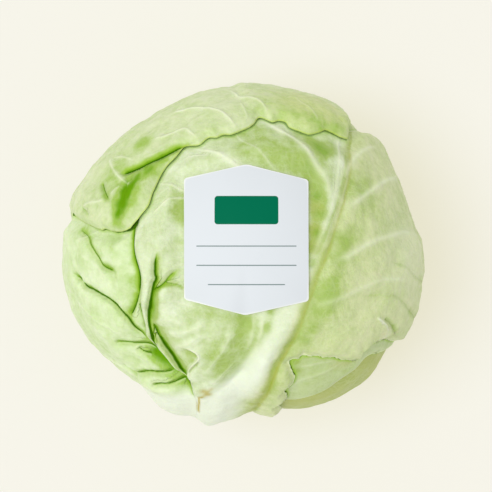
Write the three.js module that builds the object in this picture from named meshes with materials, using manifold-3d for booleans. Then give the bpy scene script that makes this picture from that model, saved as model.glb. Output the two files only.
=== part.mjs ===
// A green cabbage that lies on its side: wrapper leaves round a dense head, a cut stem and a paper label.
// Millimetres, +Z up. The origin is under the middle of the cabbage, on the surface that it lies on.
import * as THREE from 'three';
import Module from 'manifold-3d';
import { mergeVertices } from 'three/addons/utils/BufferGeometryUtils.js';

// A place on the cabbage is given as where it shows in a picture taken from straight above: a column and
// a row in pixels. A third value of UNDER puts it on the half that faces the table.
const UNDER = -1;
const PICTURE_CENTRE = new THREE.Vector2(245, 253);
const MM_PER_PIXEL = 0.5525;
const CAMERA_HEIGHT = 1500;

// The middle of the head, seen from the origin.
const HEAD_CENTRE = new THREE.Vector3(0.73, 0.13, 83.5);

// The head's outline from above, as a radius every 15 degrees, anticlockwise from +X.
const OUTLINE_RADII = [
  91.5, 88.5, 89, 89.5, 90, 88, 88, 88.5, 87.5, 89.5, 92.5, 94.5,
  94, 94.5, 92, 87, 90, 90.5, 79.5, 87, 91.5, 94.5, 91, 92,
];
const TOP_RADIUS = 90;
const BOTTOM_RADIUS = 86;
const REST_FLAT_DEPTH = 83.5;
const HEAD_FLAT_DEPTH = 80.3;
const HEAD_DETAIL = 8;
const HEAD_CLEARANCE = 1;
const MEAN_RADIUS = 95;
const WRAPPED = 4;

// The cut stem and the hollow that it stands in.
const STEM_AZIMUTH = -107;
const STEM_BELOW_HORIZON = 20;
const STEM_END_RADIUS = 16.5;
const STEM_EDGE_DROP = 1;
const STEM_ROOT_SPREAD = 12.2;
const STEM_END = 87;
const STEM_GAP = 0.5;
const STEM_SIDES = 28;
const STEM_RINGS = 3;
const STEM_CLEARANCE = 14;
const HOLLOW_DEPTH = 11;
const HOLLOW_WIDTH = 19;

// A leaf's blade, its gap to what it lies on, and how far outside a margin the leaves above start to rise
// over it and have risen.
const LEAF_THICKNESS = 0.9;
const LEAF_GAP = 0.95;
const STACK_RAMP = 12;
const STACK_MARGIN = 1.5;

// A leaf is flat under another one, from a little outside that one's margin, and thin at its own margin.
const PRESS_RAMP = 12;
const PRESS_MARGIN = 5;
const MARGIN_FADE = 6;
const MARGIN_STEPS = 160;

// The table presses the underside flat: fully where the surface faces down by more than the second share.
const TABLE_PRESS = [0.8, 0.9];

// The paper label, and how far it presses flat what it is stuck on.
const LABEL_THICKNESS = 0.6;
const LABEL_GAP = 0.8;
const LABEL_PRESS = 0.6;

// The wedge that cuts the front leaf to its torn margin.
const WEDGE_INNER = 40;
const WEDGE_OUTER = 130;

const SKIN = {
  leaf_under: 0xb6c47a,
  leaf_right: 0xbfcf97,
  leaf_back: 0xc3d592,
  leaf_left: 0xcbe0a2,
  leaf_front: 0xd3e0ad,
  leaf_top: 0xc9d99f,
  head: 0xdfe8c0,
  stem: 0xe6ead0,
  label: 0xebeef2,
};

const wasm = await Module();
wasm.setup();

const radians = THREE.MathUtils.degToRad;
const smoothstep = THREE.MathUtils.smoothstep;
const clamp = THREE.MathUtils.clamp;

function direction(azimuth, elevation) {
  const across = Math.cos(radians(elevation));
  const x = across * Math.cos(radians(azimuth));
  const y = across * Math.sin(radians(azimuth));
  return new THREE.Vector3(x, y, Math.sin(radians(elevation)));
}

const STEM = direction(STEM_AZIMUTH, -STEM_BELOW_HORIZON);
const STEM_UP = new THREE.Vector3(0, 0, 1).addScaledVector(STEM, -STEM.z).normalize();
const STEM_RIGHT = new THREE.Vector3().crossVectors(STEM_UP, STEM);

function angleFrom(a, b) {
  return THREE.MathUtils.radToDeg(Math.acos(clamp(a.dot(b), -1, 1)));
}

// The radius of the outline at an azimuth, on one smooth closed curve through the stations.
function outlineRadius(azimuth) {
  const count = OUTLINE_RADII.length;
  const station = ((azimuth / (2 * Math.PI)) * count + count) % count;
  const first = Math.floor(station);
  const t = station - first;
  const [a, b, c, d] = [-1, 0, 1, 2].map((k) => OUTLINE_RADII[(first + k + count) % count]);
  const slope = c - a + t * (2 * a - 5 * b + 4 * c - d + t * (3 * (b - c) + d - a));
  return b + 0.5 * t * slope;
}

// The dense head under all the leaves, as a distance from its middle.
function headRadius(d) {
  const outline = outlineRadius(Math.atan2(d.y, d.x));
  const pole = d.z > 0 ? TOP_RADIUS : BOTTOM_RADIUS;
  const level = 1 - d.z * d.z;
  const round = 1 / Math.sqrt(level / outline ** 2 + d.z ** 2 / pole ** 2);
  const hollow = HOLLOW_DEPTH * Math.exp(-((angleFrom(d, STEM) / HOLLOW_WIDTH) ** 2));
  const flat = d.z < 0 ? HEAD_FLAT_DEPTH / -d.z : Infinity;
  return Math.min(round - hollow, flat);
}

// The direction in which a place of the picture lies, seen from the middle of the head.
function place([column, row, side]) {
  let z = 0;
  let d = new THREE.Vector3();
  for (let round = 0; round < 6; round += 1) {
    const scale = MM_PER_PIXEL * (1 - z / CAMERA_HEIGHT);
    const x = (column - PICTURE_CENTRE.x) * scale;
    const y = (PICTURE_CENTRE.y - row) * scale;
    const radius = outlineRadius(Math.atan2(y, x)) + WRAPPED;
    const height = Math.sqrt(Math.max(0, 1 - (x * x + y * y) / radius ** 2)) * (TOP_RADIUS + WRAPPED);
    z = side === UNDER ? -height : height;
    d = new THREE.Vector3(x, y, z).normalize();
  }
  return d;
}

// A place beside the stem, where leaves start: 0 degrees is on its upper side and 90 on its right.
function besideStem(turn, apart = STEM_CLEARANCE) {
  const away = STEM_UP.clone().multiplyScalar(Math.cos(radians(turn)));
  away.addScaledVector(STEM_RIGHT, Math.sin(radians(turn)));
  const d = STEM.clone().multiplyScalar(Math.cos(radians(apart)));
  return d.addScaledVector(away, Math.sin(radians(apart)));
}

const direct = (point) => (point.isVector3 ? point : place(point));

// A smooth line over the head through a few places, for ribs, creases and folds.
function surfaceLine(points) {
  const knots = points.map((p) => direct(p).clone().multiplyScalar(MEAN_RADIUS));
  const curve = new THREE.CatmullRomCurve3(knots, false, 'centripetal');
  return curve.getSpacedPoints(Math.max(4, Math.round(curve.getLength() / 4)));
}

const toEnd = new THREE.Vector3();
const toPoint = new THREE.Vector3();

// How far a direction is from a line, on which side (positive on the right) and at what share along it.
function nearest(line, d) {
  const point = d.clone().multiplyScalar(MEAN_RADIUS);
  let best = { distance: Infinity, side: 1, along: 0 };
  for (let k = 0; k < line.length - 1; k += 1) {
    toEnd.subVectors(line[k + 1], line[k]);
    toPoint.subVectors(point, line[k]);
    const t = clamp(toPoint.dot(toEnd) / toEnd.lengthSq(), 0, 1);
    const side = toPoint.clone().cross(toEnd).dot(d) > 0 ? 1 : -1;
    const distance = toPoint.addScaledVector(toEnd, -t).length();
    if (distance < best.distance) best = { distance, side, along: (k + t) / (line.length - 1) };
  }
  return best;
}

const mix = ([from, to], t) => from + (to - from) * t;

// Relief of a leaf. Each kind returns a function of the direction, in millimetres.
function rib(points, widths, heights) {
  const line = surfaceLine(points);
  return (d) => {
    const { distance, along } = nearest(line, d);
    const t = Math.min(1, distance / mix(widths, along));
    return mix(heights, along) * Math.cos((Math.PI / 2) * t) ** 2;
  };
}

// A thick midrib: soft on its left side, steep on its right.
function midrib(points, widths, heights) {
  const line = surfaceLine(points);
  return (d) => {
    const { distance, side, along } = nearest(line, d);
    const t = distance / mix(widths, Math.sqrt(along));
    const fall = side > 0 ? 1 - smoothstep(t, 0.75, 1.15) : 1 - smoothstep(t, 0.1, 1.3);
    return mix(heights, along) * fall;
  };
}

// A crease: 1 far from it and less in it, which multiplies the height of the puffed blade.
function crease(points, width, depths = [0.3, 1]) {
  const line = surfaceLine(points);
  return (d) => {
    const { distance, along } = nearest(line, d);
    const t = Math.min(1, distance / width);
    return 1 - mix(depths, along) * (1 - t) ** 2;
  };
}

// A fold that stands over what is on its left.
function fold(points, height, reach) {
  const line = surfaceLine(points);
  return (d) => {
    const { distance, side, along } = nearest(line, d);
    const ends = smoothstep(along, 0, 0.15) * (1 - smoothstep(along, 0.85, 1));
    const fall = side > 0 ? 1 - smoothstep(distance, 2, reach) : 1 - smoothstep(distance, 0, 3);
    return height * ends * fall;
  };
}

// A flat map of the head round a leaf's middle: distances and bearings from the middle are true.
class LeafMap {
  constructor(centre) {
    this.centre = direct(centre);
    this.up = STEM.clone().negate().addScaledVector(this.centre, STEM.dot(this.centre)).normalize();
    this.across = new THREE.Vector3().crossVectors(this.up, this.centre);
  }

  flatten(d) {
    const angle = Math.acos(clamp(d.dot(this.centre), -1, 1));
    const flat = new THREE.Vector2(d.dot(this.across), d.dot(this.up));
    return flat.normalize().multiplyScalar(angle * MEAN_RADIUS);
  }

  raise(flat) {
    const angle = flat.length() / MEAN_RADIUS;
    const sideways = flat.clone().normalize().multiplyScalar(Math.sin(angle));
    const d = this.centre.clone().multiplyScalar(Math.cos(angle));
    return d.addScaledVector(this.across, sideways.x).addScaledVector(this.up, sideways.y);
  }
}

// A leaf's blade, spread between four sides: its base and tip run left to right, its sides base to tip.
class Leaf {
  constructor({ name, centre, cells, puff = 0, creases = [], ribs = [], margin = {}, ...sides }) {
    Object.assign(this, { name, cells, puff, creases, ribs });
    this.map = new LeafMap(centre);
    this.sides = this.spread(sides);
    this.outline = this.walk(this.spread({ ...sides, ...margin }));
  }

  spread({ base, tip, left, right }) {
    return {
      base: this.side([left[0], ...base, right[0]]),
      tip: this.side([left.at(-1), ...tip, right.at(-1)]),
      left: this.side(left),
      right: this.side(right),
    };
  }

  side(points) {
    return new THREE.SplineCurve(points.map((p) => this.map.flatten(direct(p))));
  }

  // The margin as one loop of points, anticlockwise.
  walk({ base, right, tip, left }) {
    const steps = MARGIN_STEPS / 4;
    return [
      ...base.getSpacedPoints(steps).slice(0, -1),
      ...right.getSpacedPoints(steps).slice(0, -1),
      ...tip.getSpacedPoints(steps).reverse().slice(0, -1),
      ...left.getSpacedPoints(steps).reverse().slice(0, -1),
    ];
  }

  // The blade's point at shares u across and v along, from its four sides.
  point(u, v) {
    const { base, tip, left, right } = this.sides;
    const flat = base.getPointAt(u).multiplyScalar(1 - v);
    flat.addScaledVector(tip.getPointAt(u), v);
    flat.addScaledVector(left.getPointAt(v), 1 - u);
    flat.addScaledVector(right.getPointAt(v), u);
    flat.addScaledVector(base.getPointAt(0), -(1 - u) * (1 - v));
    flat.addScaledVector(base.getPointAt(1), -u * (1 - v));
    flat.addScaledVector(tip.getPointAt(0), -(1 - u) * v);
    flat.addScaledVector(tip.getPointAt(1), -u * v);
    return this.map.raise(flat);
  }

  // How far a direction is inside the leaf's margin, negative outside it.
  inset(d) {
    const p = this.map.flatten(d);
    let inside = false;
    let least = Infinity;
    this.outline.forEach((a, k) => {
      const b = this.outline[(k + 1) % this.outline.length];
      const crosses = a.y > p.y !== b.y > p.y;
      if (crosses && p.x < ((b.x - a.x) * (p.y - a.y)) / (b.y - a.y) + a.x) inside = !inside;
      const edge = b.clone().sub(a);
      const t = clamp(p.clone().sub(a).dot(edge) / edge.lengthSq(), 0, 1);
      least = Math.min(least, p.distanceTo(edge.multiplyScalar(t).add(a)));
    });
    return inside ? least : -least;
  }

  relief(d) {
    const puffed = this.creases.reduce((height, shape) => height * shape(d), this.puff);
    return this.ribs.reduce((height, shape) => height + shape(d), puffed);
  }
}

// The leaves, from the inside out. Sides run from the base, beside the stem, to the tip.
const leafUnder = new Leaf({
  name: 'leaf_under',
  centre: [335, 375],
  cells: [12, 14],
  base: [besideStem(75)],
  left: [besideStem(48), [262, 395], [285, 375], [330, 345], [375, 310], [403, 262]],
  tip: [[413, 250], [408, 238, UNDER]],
  right: [
    besideStem(102), [275, 385, UNDER], [318, 356, UNDER], [350, 325, UNDER],
    [380, 285, UNDER], [396, 245, UNDER],
  ],
});

const leafRight = new Leaf({
  name: 'leaf_right',
  centre: [335, 345],
  cells: [16, 18],
  base: [besideStem(48)],
  left: [besideStem(33), [250, 398], [262, 375], [280, 335], [310, 300]],
  tip: [[345, 290], [378, 294]],
  right: [
    besideStem(62), [262, 407], [279, 402.5], [300, 400], [324, 392], [340, 381], [356, 370], [372, 355],
    [396, 345], [403, 334], [407, 318],
  ],
  puff: 1,
  ribs: [rib([[262, 405], [300, 385], [340, 368], [358, 356], [378, 341]], [4, 3], [1, 1.5])],
});

const leafBack = new Leaf({
  name: 'leaf_back',
  centre: [285, 220, UNDER],
  cells: [18, 22],
  base: [besideStem(115)],
  left: [
    besideStem(65), [305, 374, UNDER], [360, 325, UNDER], [388, 260, UNDER],
    [390, 200, UNDER], [381, 155, UNDER], [366, 138],
  ],
  tip: [[345, 136], [315, 124]],
  right: [
    besideStem(172), [180, 350, UNDER], [178, 300, UNDER], [185, 220, UNDER],
    [215, 140, UNDER], [250, 95], [285, 110],
  ],
  ribs: [rib([besideStem(115), [290, 340, UNDER], [335, 260, UNDER], [345, 180, UNDER]], [11, 3], [4, 1])],
});

const leafLeft = new Leaf({
  name: 'leaf_left',
  centre: [105, 285],
  cells: [22, 26],
  base: [besideStem(-85)],
  left: [
    besideStem(-150), [168, 372, UNDER], [138, 340, UNDER], [112, 300, UNDER],
    [100, 250, UNDER], [92, 205, UNDER],
  ],
  tip: [[75, 197], [100, 202], [130, 200]],
  right: [
    besideStem(-18), [206, 395], [206, 375], [188, 345], [170, 310], [162, 270], [158, 235], [160, 198],
  ],
  puff: 4.5,
  creases: [
    crease([[79, 228], [88, 236.5], [94, 248], [101, 260], [110, 268.5], [118, 275]], 11),
    crease([[75.5, 271], [84, 285], [104, 295.5], [120, 307], [137, 325], [148, 339.5]], 13),
    crease([[129.5, 315.5], [134.5, 303], [138, 295]], 9),
    crease([[113, 336], [128, 341], [148, 344], [156, 350]], 10),
    crease([[128, 362], [143, 369], [160, 372], [174, 370]], 10),
    crease([[157, 380], [170, 382], [187, 378]], 8),
  ],
  ribs: [rib([besideStem(-55), [168, 398], [138, 372], [108, 335], [85, 290]], [15, 6], [4, 0.5])],
});

// The front leaf's lower right margin is torn away along this line.
const TORN_MARGIN = [
  [268, 411], [282, 407], [279, 402.5], [287, 396], [285, 390], [293, 382], [295, 375],
  [289, 361], [297, 358], [304, 353], [323, 356.5], [353, 359], [362, 350], [375, 342], [396, 341],
];
const TORN_AWAY = [
  [382, 328, UNDER], [362, 358, UNDER], [320, 380, UNDER], [275, 390, UNDER],
];

const leafFront = new Leaf({
  name: 'leaf_front',
  centre: [285, 262],
  cells: [30, 34],
  base: [besideStem(10), besideStem(58), [256, 411.5], [268, 411], [300, 402], [335, 388], [368, 369]],
  left: [
    besideStem(-38), [198, 404], [190, 388], [187, 378], [174, 369], [160, 352], [146, 337], [144, 325],
    [139, 300], [140, 277], [134, 253], [133.5, 237], [137.5, 221], [142, 195], [156, 165], [185, 137],
  ],
  right: [
    [393, 354], [400, 330, UNDER], [402, 290, UNDER], [402, 250, UNDER],
    [396, 210, UNDER], [384, 170, UNDER], [385, 153],
  ],
  margin: {
    base: [besideStem(10), besideStem(58), [256, 411.5], ...TORN_MARGIN],
    right: [
      [399, 340], [400, 330, UNDER], [402, 290, UNDER], [402, 250, UNDER],
      [396, 210, UNDER], [384, 170, UNDER], [385, 153],
    ],
  },
  tip: [[230, 108], [290, 104], [325, 117], [344, 129], [352, 130.5], [366, 135], [378, 143.5]],
  puff: 3.5,
  creases: [
    crease([[160, 252], [156.5, 266], [157.5, 277], [154, 288], [151, 310], [153, 337], [158, 350]], 9),
    crease([[154, 318], [160, 333], [170, 350], [180, 366], [187, 377]], 9),
    crease([[176, 270], [166, 281], [154, 288]], 7),
    crease([[392, 262], [403, 266], [411, 276], [417, 288], [419, 295]], 9, [0.2, 0.8]),
    crease([[356, 296], [378, 293], [390, 294], [398, 301], [405, 317]], 9, [0.2, 0.9]),
    crease([[205, 375], [218, 362], [230, 350]], 16, [0.5, 0.3]),
  ],
  ribs: [
    midrib([
      besideStem(12), [229, 405], [240, 388], [257.5, 370], [267, 353], [276, 340], [291, 309],
      [301, 285], [321, 245], [328, 220], [332.5, 205], [338, 178], [344, 141],
    ], [15, 4], [5, 1.5]),
    rib([[342, 178], [353.6, 160.4], [368, 147]], [4, 3], [1.5, 0.8]),
    rib([[340, 212], [358, 200.5], [393, 178]], [4, 3], [1.8, 0.8]),
    rib([[328, 264], [349, 256], [376, 240], [405, 232], [416, 233]], [4, 3], [1.8, 0.8]),
    rib([[310, 310], [344.6, 294.6], [380, 280], [407, 279.5]], [4, 3], [1.8, 0.8]),
    rib([[334, 205], [322, 169], [305, 150.4], [285, 132]], [4, 3], [1.6, 0.5]),
    rib([[262, 180], [242.5, 163], [226, 154.8], [205, 145]], [4, 3], [1.2, 1]),
    rib([[262, 312], [258, 325], [250, 345], [243, 362]], [4, 5], [1.2, 1.5]),
    fold([[198, 399], [188, 384], [189, 370], [196, 361], [200, 354], [194, 348.5], [182, 343]], 3, 14),
  ],
});

const leafTop = new Leaf({
  name: 'leaf_top',
  centre: [175, 170, UNDER],
  cells: [28, 30],
  base: [besideStem(182)],
  left: [
    besideStem(150), [240, 372, UNDER], [280, 320, UNDER], [310, 260, UNDER],
    [335, 200, UNDER], [350, 150, UNDER], [357, 127], [348, 139.5],
  ],
  tip: [
    [330, 132.5], [316, 133.5], [296, 128], [284, 118], [266, 118], [257, 118], [246, 127], [223, 133],
    [203, 139], [185, 145],
  ],
  right: [
    besideStem(215), [152, 372, UNDER], [120, 345, UNDER], [92, 300, UNDER], [75, 250, UNDER],
    [67, 226], [85, 229], [104, 229], [118, 231.5], [130, 228.5], [141, 216], [149, 205], [154, 190],
    [161, 171], [170, 159],
  ],
  puff: 2,
  creases: [
    crease([[123, 173], [130, 170], [150, 162], [170, 152.5], [186, 144.5]], 10, [1, 1]),
    crease([[126, 176], [124, 200], [118, 222]], 10, [1, 0.7]),
    crease([[80, 208], [88, 203], [98, 201], [105, 199]], 8, [0.6, 0.8]),
  ],
  ribs: [
    rib([[108, 160], [112, 169], [120, 178], [133, 186]], [4, 4], [1, 1.5]),
    rib([[110, 155], [130, 158]], [4, 4], [1, 1]),
    rib([[150, 137], [170, 130], [184, 127], [198, 137]], [4, 4], [0.8, 1.2]),
    rib([[170, 109], [190, 105.5], [210, 107], [228, 116], [238, 128]], [4, 4], [0.8, 1.2]),
    rib([[232, 89], [250, 98], [268, 112]], [4, 4], [0.8, 1.2]),
    rib([besideStem(182), [175, 350, UNDER], [135, 280, UNDER], [100, 200, UNDER], [110, 150]],
      [12, 4], [5, 1]),
  ],
});

const LEAVES = [leafUnder, leafRight, leafBack, leafLeft, leafFront, leafTop];

// The paper label is a sheet with six straight sides on the front leaf.
class Label extends Leaf {
  side(points) {
    const corners = points.map((p) => this.map.flatten(direct(p)));
    const path = new THREE.CurvePath();
    corners.slice(1).forEach((corner, k) => path.add(new THREE.LineCurve(corners[k], corner)));
    return path;
  }
}

const label = new Label({
  name: 'label',
  centre: [246, 239],
  cells: [12, 16],
  base: [[245.3, 315]],
  left: [[183.8, 299.3], [183.8, 177.7]],
  tip: [[246.6, 163.3]],
  right: [[308.8, 300.6], [308.8, 179]],
});

// How far what lies under a leaf lifts it off the head.
function stackUnder(leaf, d) {
  const below = LEAVES.slice(0, LEAVES.indexOf(leaf));
  const layer = LEAF_THICKNESS + LEAF_GAP;
  const rise = (other) => layer * smoothstep(other.inset(d), -STACK_RAMP, -STACK_MARGIN);
  return below.reduce((lift, other) => lift + rise(other), LEAF_GAP);
}

// How much a leaf's relief is pressed flat, from 0 to 1, by what lies on it or by the table.
function pressOn(leaf, d) {
  const above = LEAVES.slice(LEAVES.indexOf(leaf) + 1);
  const press = (sheet) => smoothstep(sheet.inset(d), -PRESS_RAMP, -PRESS_MARGIN);
  const paper = leaf === leafFront ? LABEL_PRESS * press(label) : 0;
  return Math.max(paper, smoothstep(-d.z, ...TABLE_PRESS), ...above.map(press));
}

function innerRadius(leaf, d) {
  return headRadius(d) + stackUnder(leaf, d);
}

function outerRadius(leaf, d) {
  const edge = smoothstep(leaf.inset(d), 0, MARGIN_FADE);
  const thickness = LEAF_THICKNESS + leaf.relief(d) * (1 - pressOn(leaf, d)) * edge;
  const table = d.z < 0 ? REST_FLAT_DEPTH / -d.z : Infinity;
  return Math.min(innerRadius(leaf, d) + thickness, table);
}

// A closed shell from a grid of directions, with its inner and outer radius as functions of the direction.
function shellGeometry(sheet, inner, outer) {
  const [across, along] = sheet.cells;
  const places = [];
  for (let j = 0; j <= along; j += 1) {
    for (let i = 0; i <= across; i += 1) places.push(sheet.point(i / across, j / along));
  }
  const skin = places.length;
  const vertices = [...places.map((d) => d.clone().multiplyScalar(outer(d)))];
  vertices.push(...places.map((d) => d.clone().multiplyScalar(inner(d))));
  const faces = [];
  const at = (i, j) => j * (across + 1) + i;
  for (let j = 0; j < along; j += 1) {
    for (let i = 0; i < across; i += 1) {
      const [a, b, c, d] = [at(i, j), at(i + 1, j), at(i + 1, j + 1), at(i, j + 1)];
      faces.push(a, b, c, a, c, d);
      faces.push(a + skin, c + skin, b + skin, a + skin, d + skin, c + skin);
    }
  }
  const rim = [];
  for (let i = 0; i < across; i += 1) rim.push(at(i, 0));
  for (let j = 0; j < along; j += 1) rim.push(at(across, j));
  for (let i = across; i > 0; i -= 1) rim.push(at(i, along));
  for (let j = along; j > 0; j -= 1) rim.push(at(0, j));
  rim.forEach((a, k) => {
    const b = rim[(k + 1) % rim.length];
    faces.push(a, a + skin, b + skin, a, b + skin, b);
  });
  return closedGeometry(vertices, faces);
}

// A wedge round a loop of places, from inside the head to well outside it.
function wedgeGeometry(map, loop) {
  const contour = loop.map((p) => map.flatten(direct(p)));
  if (THREE.ShapeUtils.isClockWise(contour)) contour.reverse();
  const count = contour.length;
  const vertices = contour.map((p) => map.raise(p).multiplyScalar(WEDGE_OUTER));
  vertices.push(...contour.map((p) => map.raise(p).multiplyScalar(WEDGE_INNER)));
  const faces = [];
  THREE.ShapeUtils.triangulateShape(contour, []).forEach(([a, b, c]) => {
    faces.push(a, b, c, a + count, c + count, b + count);
  });
  contour.forEach((_, from) => {
    const to = (from + 1) % count;
    faces.push(from, from + count, to + count, from, to + count, to);
  });
  return closedGeometry(vertices, faces);
}

function solid(geometry) {
  const vertProperties = geometry.getAttribute('position').array;
  const triVerts = Uint32Array.from(geometry.index.array);
  return new wasm.Manifold(new wasm.Mesh({ numProp: 3, vertProperties, triVerts }));
}

function cutAway(geometry, cutter) {
  const { vertProperties, triVerts } = solid(geometry).subtract(solid(cutter)).getMesh();
  const cut = new THREE.BufferGeometry();
  cut.setAttribute('position', new THREE.BufferAttribute(new Float32Array(vertProperties), 3));
  cut.setIndex(Array.from(triVerts));
  cut.computeVertexNormals();
  return cut;
}

function closedGeometry(vertices, faces) {
  const geometry = new THREE.BufferGeometry();
  const position = new THREE.Float32BufferAttribute(vertices.flatMap((v) => v.toArray()), 3);
  geometry.setAttribute('position', position);
  geometry.setIndex(faces);
  geometry.computeVertexNormals();
  return geometry;
}

// The dense head of tight inner leaves.
function headGeometry() {
  const ball = new THREE.IcosahedronGeometry(1, HEAD_DETAIL);
  ball.deleteAttribute('normal');
  ball.deleteAttribute('uv');
  const merged = mergeVertices(ball);
  const position = merged.getAttribute('position');
  const d = new THREE.Vector3();
  for (let k = 0; k < position.count; k += 1) {
    d.fromBufferAttribute(position, k).normalize();
    d.multiplyScalar(headRadius(d) - HEAD_CLEARANCE);
    position.setXYZ(k, d.x, d.y, d.z);
  }
  merged.computeVertexNormals();
  return merged;
}

// The cut stump: its root follows the hollow in the head and its end is cut straight across.
function stemGeometry() {
  const vertices = [];
  for (const isEnd of [true, false]) {
    for (let ring = 0; ring <= STEM_RINGS; ring += 1) {
      for (let k = 0; k < STEM_SIDES; k += 1) {
        vertices.push(isEnd ? stemEndPoint(ring, k) : stemRootPoint(ring, k));
      }
    }
  }
  const faces = [];
  const root = (STEM_RINGS + 1) * STEM_SIDES;
  const at = (ring, k) => ring * STEM_SIDES + (k % STEM_SIDES);
  for (let k = 0; k < STEM_SIDES; k += 1) {
    for (let ring = 0; ring < STEM_RINGS; ring += 1) {
      const [a, b, c, d] = [at(ring, k), at(ring, k + 1), at(ring + 1, k + 1), at(ring + 1, k)];
      faces.push(a, b, c, a, c, d, a + root, c + root, b + root, a + root, d + root, c + root);
    }
    const [a, b] = [at(STEM_RINGS, k), at(STEM_RINGS, k + 1)];
    faces.push(a, b, b + root, a, b + root, a + root);
  }
  return closedGeometry(vertices, faces);
}

function stemEndPoint(ring, k) {
  const radius = (STEM_END_RADIUS * ring) / STEM_RINGS;
  const turn = radians((360 * k) / STEM_SIDES);
  const lip = ring === STEM_RINGS ? STEM_EDGE_DROP : 0;
  const d = STEM.clone().multiplyScalar(STEM_END - lip);
  d.addScaledVector(STEM_UP, radius * Math.cos(turn));
  return d.addScaledVector(STEM_RIGHT, radius * Math.sin(turn));
}

function stemRootPoint(ring, k) {
  const d = besideStem((360 * k) / STEM_SIDES, (STEM_ROOT_SPREAD * ring) / STEM_RINGS);
  return d.multiplyScalar(headRadius(d) + STEM_GAP);
}

function material(name) {
  return new THREE.MeshStandardMaterial({ color: SKIN[name], roughness: 0.55, metalness: 0 });
}

function mesh(name, geometry) {
  const piece = new THREE.Mesh(geometry, material(name));
  piece.name = name;
  return piece;
}

const cabbage = new THREE.Group();
cabbage.add(mesh('head', headGeometry()));
cabbage.add(mesh('stem', stemGeometry()));
const tear = wedgeGeometry(leafFront.map, [...TORN_MARGIN, ...TORN_AWAY]);
for (const leaf of LEAVES) {
  const blade = shellGeometry(leaf, (d) => innerRadius(leaf, d), (d) => outerRadius(leaf, d));
  cabbage.add(mesh(leaf.name, leaf === leafFront ? cutAway(blade, tear) : blade));
}
const underLabel = (d) => outerRadius(leafFront, d) + LABEL_GAP;
cabbage.add(mesh(label.name, shellGeometry(label, underLabel, (d) => underLabel(d) + LABEL_THICKNESS)));
cabbage.position.copy(HEAD_CENTRE);

export default cabbage;
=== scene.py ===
# %% [markdown]
# # A green cabbage
# This lesson dresses a cabbage that lies on its side, seen from straight above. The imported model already
# says where the head, the stem, six wrapper leaves and a paper label are. Each of them gets a finer piece
# here, made from the same few measurements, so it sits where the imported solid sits.

import bmesh
import bpy
import numpy as np
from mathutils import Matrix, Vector, noise


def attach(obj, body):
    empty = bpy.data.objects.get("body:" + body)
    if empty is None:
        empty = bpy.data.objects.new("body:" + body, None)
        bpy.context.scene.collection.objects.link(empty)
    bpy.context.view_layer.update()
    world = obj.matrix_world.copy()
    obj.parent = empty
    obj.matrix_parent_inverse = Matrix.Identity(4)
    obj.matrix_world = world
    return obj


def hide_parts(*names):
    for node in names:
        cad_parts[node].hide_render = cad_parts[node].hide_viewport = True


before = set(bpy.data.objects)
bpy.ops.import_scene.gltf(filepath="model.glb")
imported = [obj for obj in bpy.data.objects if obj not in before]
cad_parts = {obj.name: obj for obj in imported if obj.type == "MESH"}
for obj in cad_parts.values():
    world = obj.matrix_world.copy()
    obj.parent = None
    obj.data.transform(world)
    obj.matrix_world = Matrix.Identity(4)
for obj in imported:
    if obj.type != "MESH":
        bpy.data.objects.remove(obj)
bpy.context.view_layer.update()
print("packed cabbage:", sorted(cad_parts))

# %% [markdown]
# ## Measurements of the head
# All lengths are in millimetres and turn to metres only when a mesh is made. The head is nearly an
# ellipsoid, but its outline from above isn't round, so it is given as a radius every 15 degrees. The stem
# stands in a hollow, and the underside is flat where the head lies.

# %% The head's measurements
METRES = 0.001
HEAD_CENTRE = np.array([0.73, 0.13, 83.5])
OUTLINE_RADII = np.array([
    91.5, 88.5, 89, 89.5, 90, 88, 88, 88.5, 87.5, 89.5, 92.5, 94.5,
    94, 94.5, 92, 87, 90, 90.5, 79.5, 87, 91.5, 94.5, 91, 92,
])
TOP_RADIUS = 90.0
BOTTOM_RADIUS = 86.0
REST_DEPTH = 83.5
HEAD_FLAT_DEPTH = 80.3
MEAN_RADIUS = 95.0
WRAPPED = 4.0

STEM_AZIMUTH = -107.0
STEM_BELOW_HORIZON = 20.0
STEM_CLEARANCE = 14.0
HOLLOW_DEPTH = 11.0
HOLLOW_WIDTH = 19.0
print("the head is", TOP_RADIUS + BOTTOM_RADIUS, "mm thick")


# %% Directions from the head's middle
def unit(vectors):
    return vectors / np.linalg.norm(vectors, axis=-1, keepdims=True)


def smoothstep(x, low, high):
    t = np.clip((x - low) / (high - low), 0, 1)
    return t * t * (3 - 2 * t)


def cubic(a, b, c, d, t):
    """The smooth curve from b to c, with a before it and d after it."""
    return b + 0.5 * t * (c - a + t * (2 * a - 5 * b + 4 * c - d + t * (3 * (b - c) + d - a)))


def direction(azimuth, elevation):
    azimuth, elevation = np.radians([azimuth, elevation])
    across = np.cos(elevation)
    return np.array([across * np.cos(azimuth), across * np.sin(azimuth), np.sin(elevation)])


STEM = direction(STEM_AZIMUTH, -STEM_BELOW_HORIZON)
STEM_UP = unit(np.array([0, 0, 1]) - STEM * STEM[2])
STEM_RIGHT = np.cross(STEM_UP, STEM)
print("the stem points to", STEM.round(3))


# %% The head's surface
def outline_radius(azimuth):
    count = len(OUTLINE_RADII)
    station = azimuth / (2 * np.pi) * count % count
    first = np.floor(station).astype(int)
    around = [OUTLINE_RADII[(first + k) % count] for k in (-1, 0, 1, 2)]
    return cubic(*around, station - first)


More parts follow.
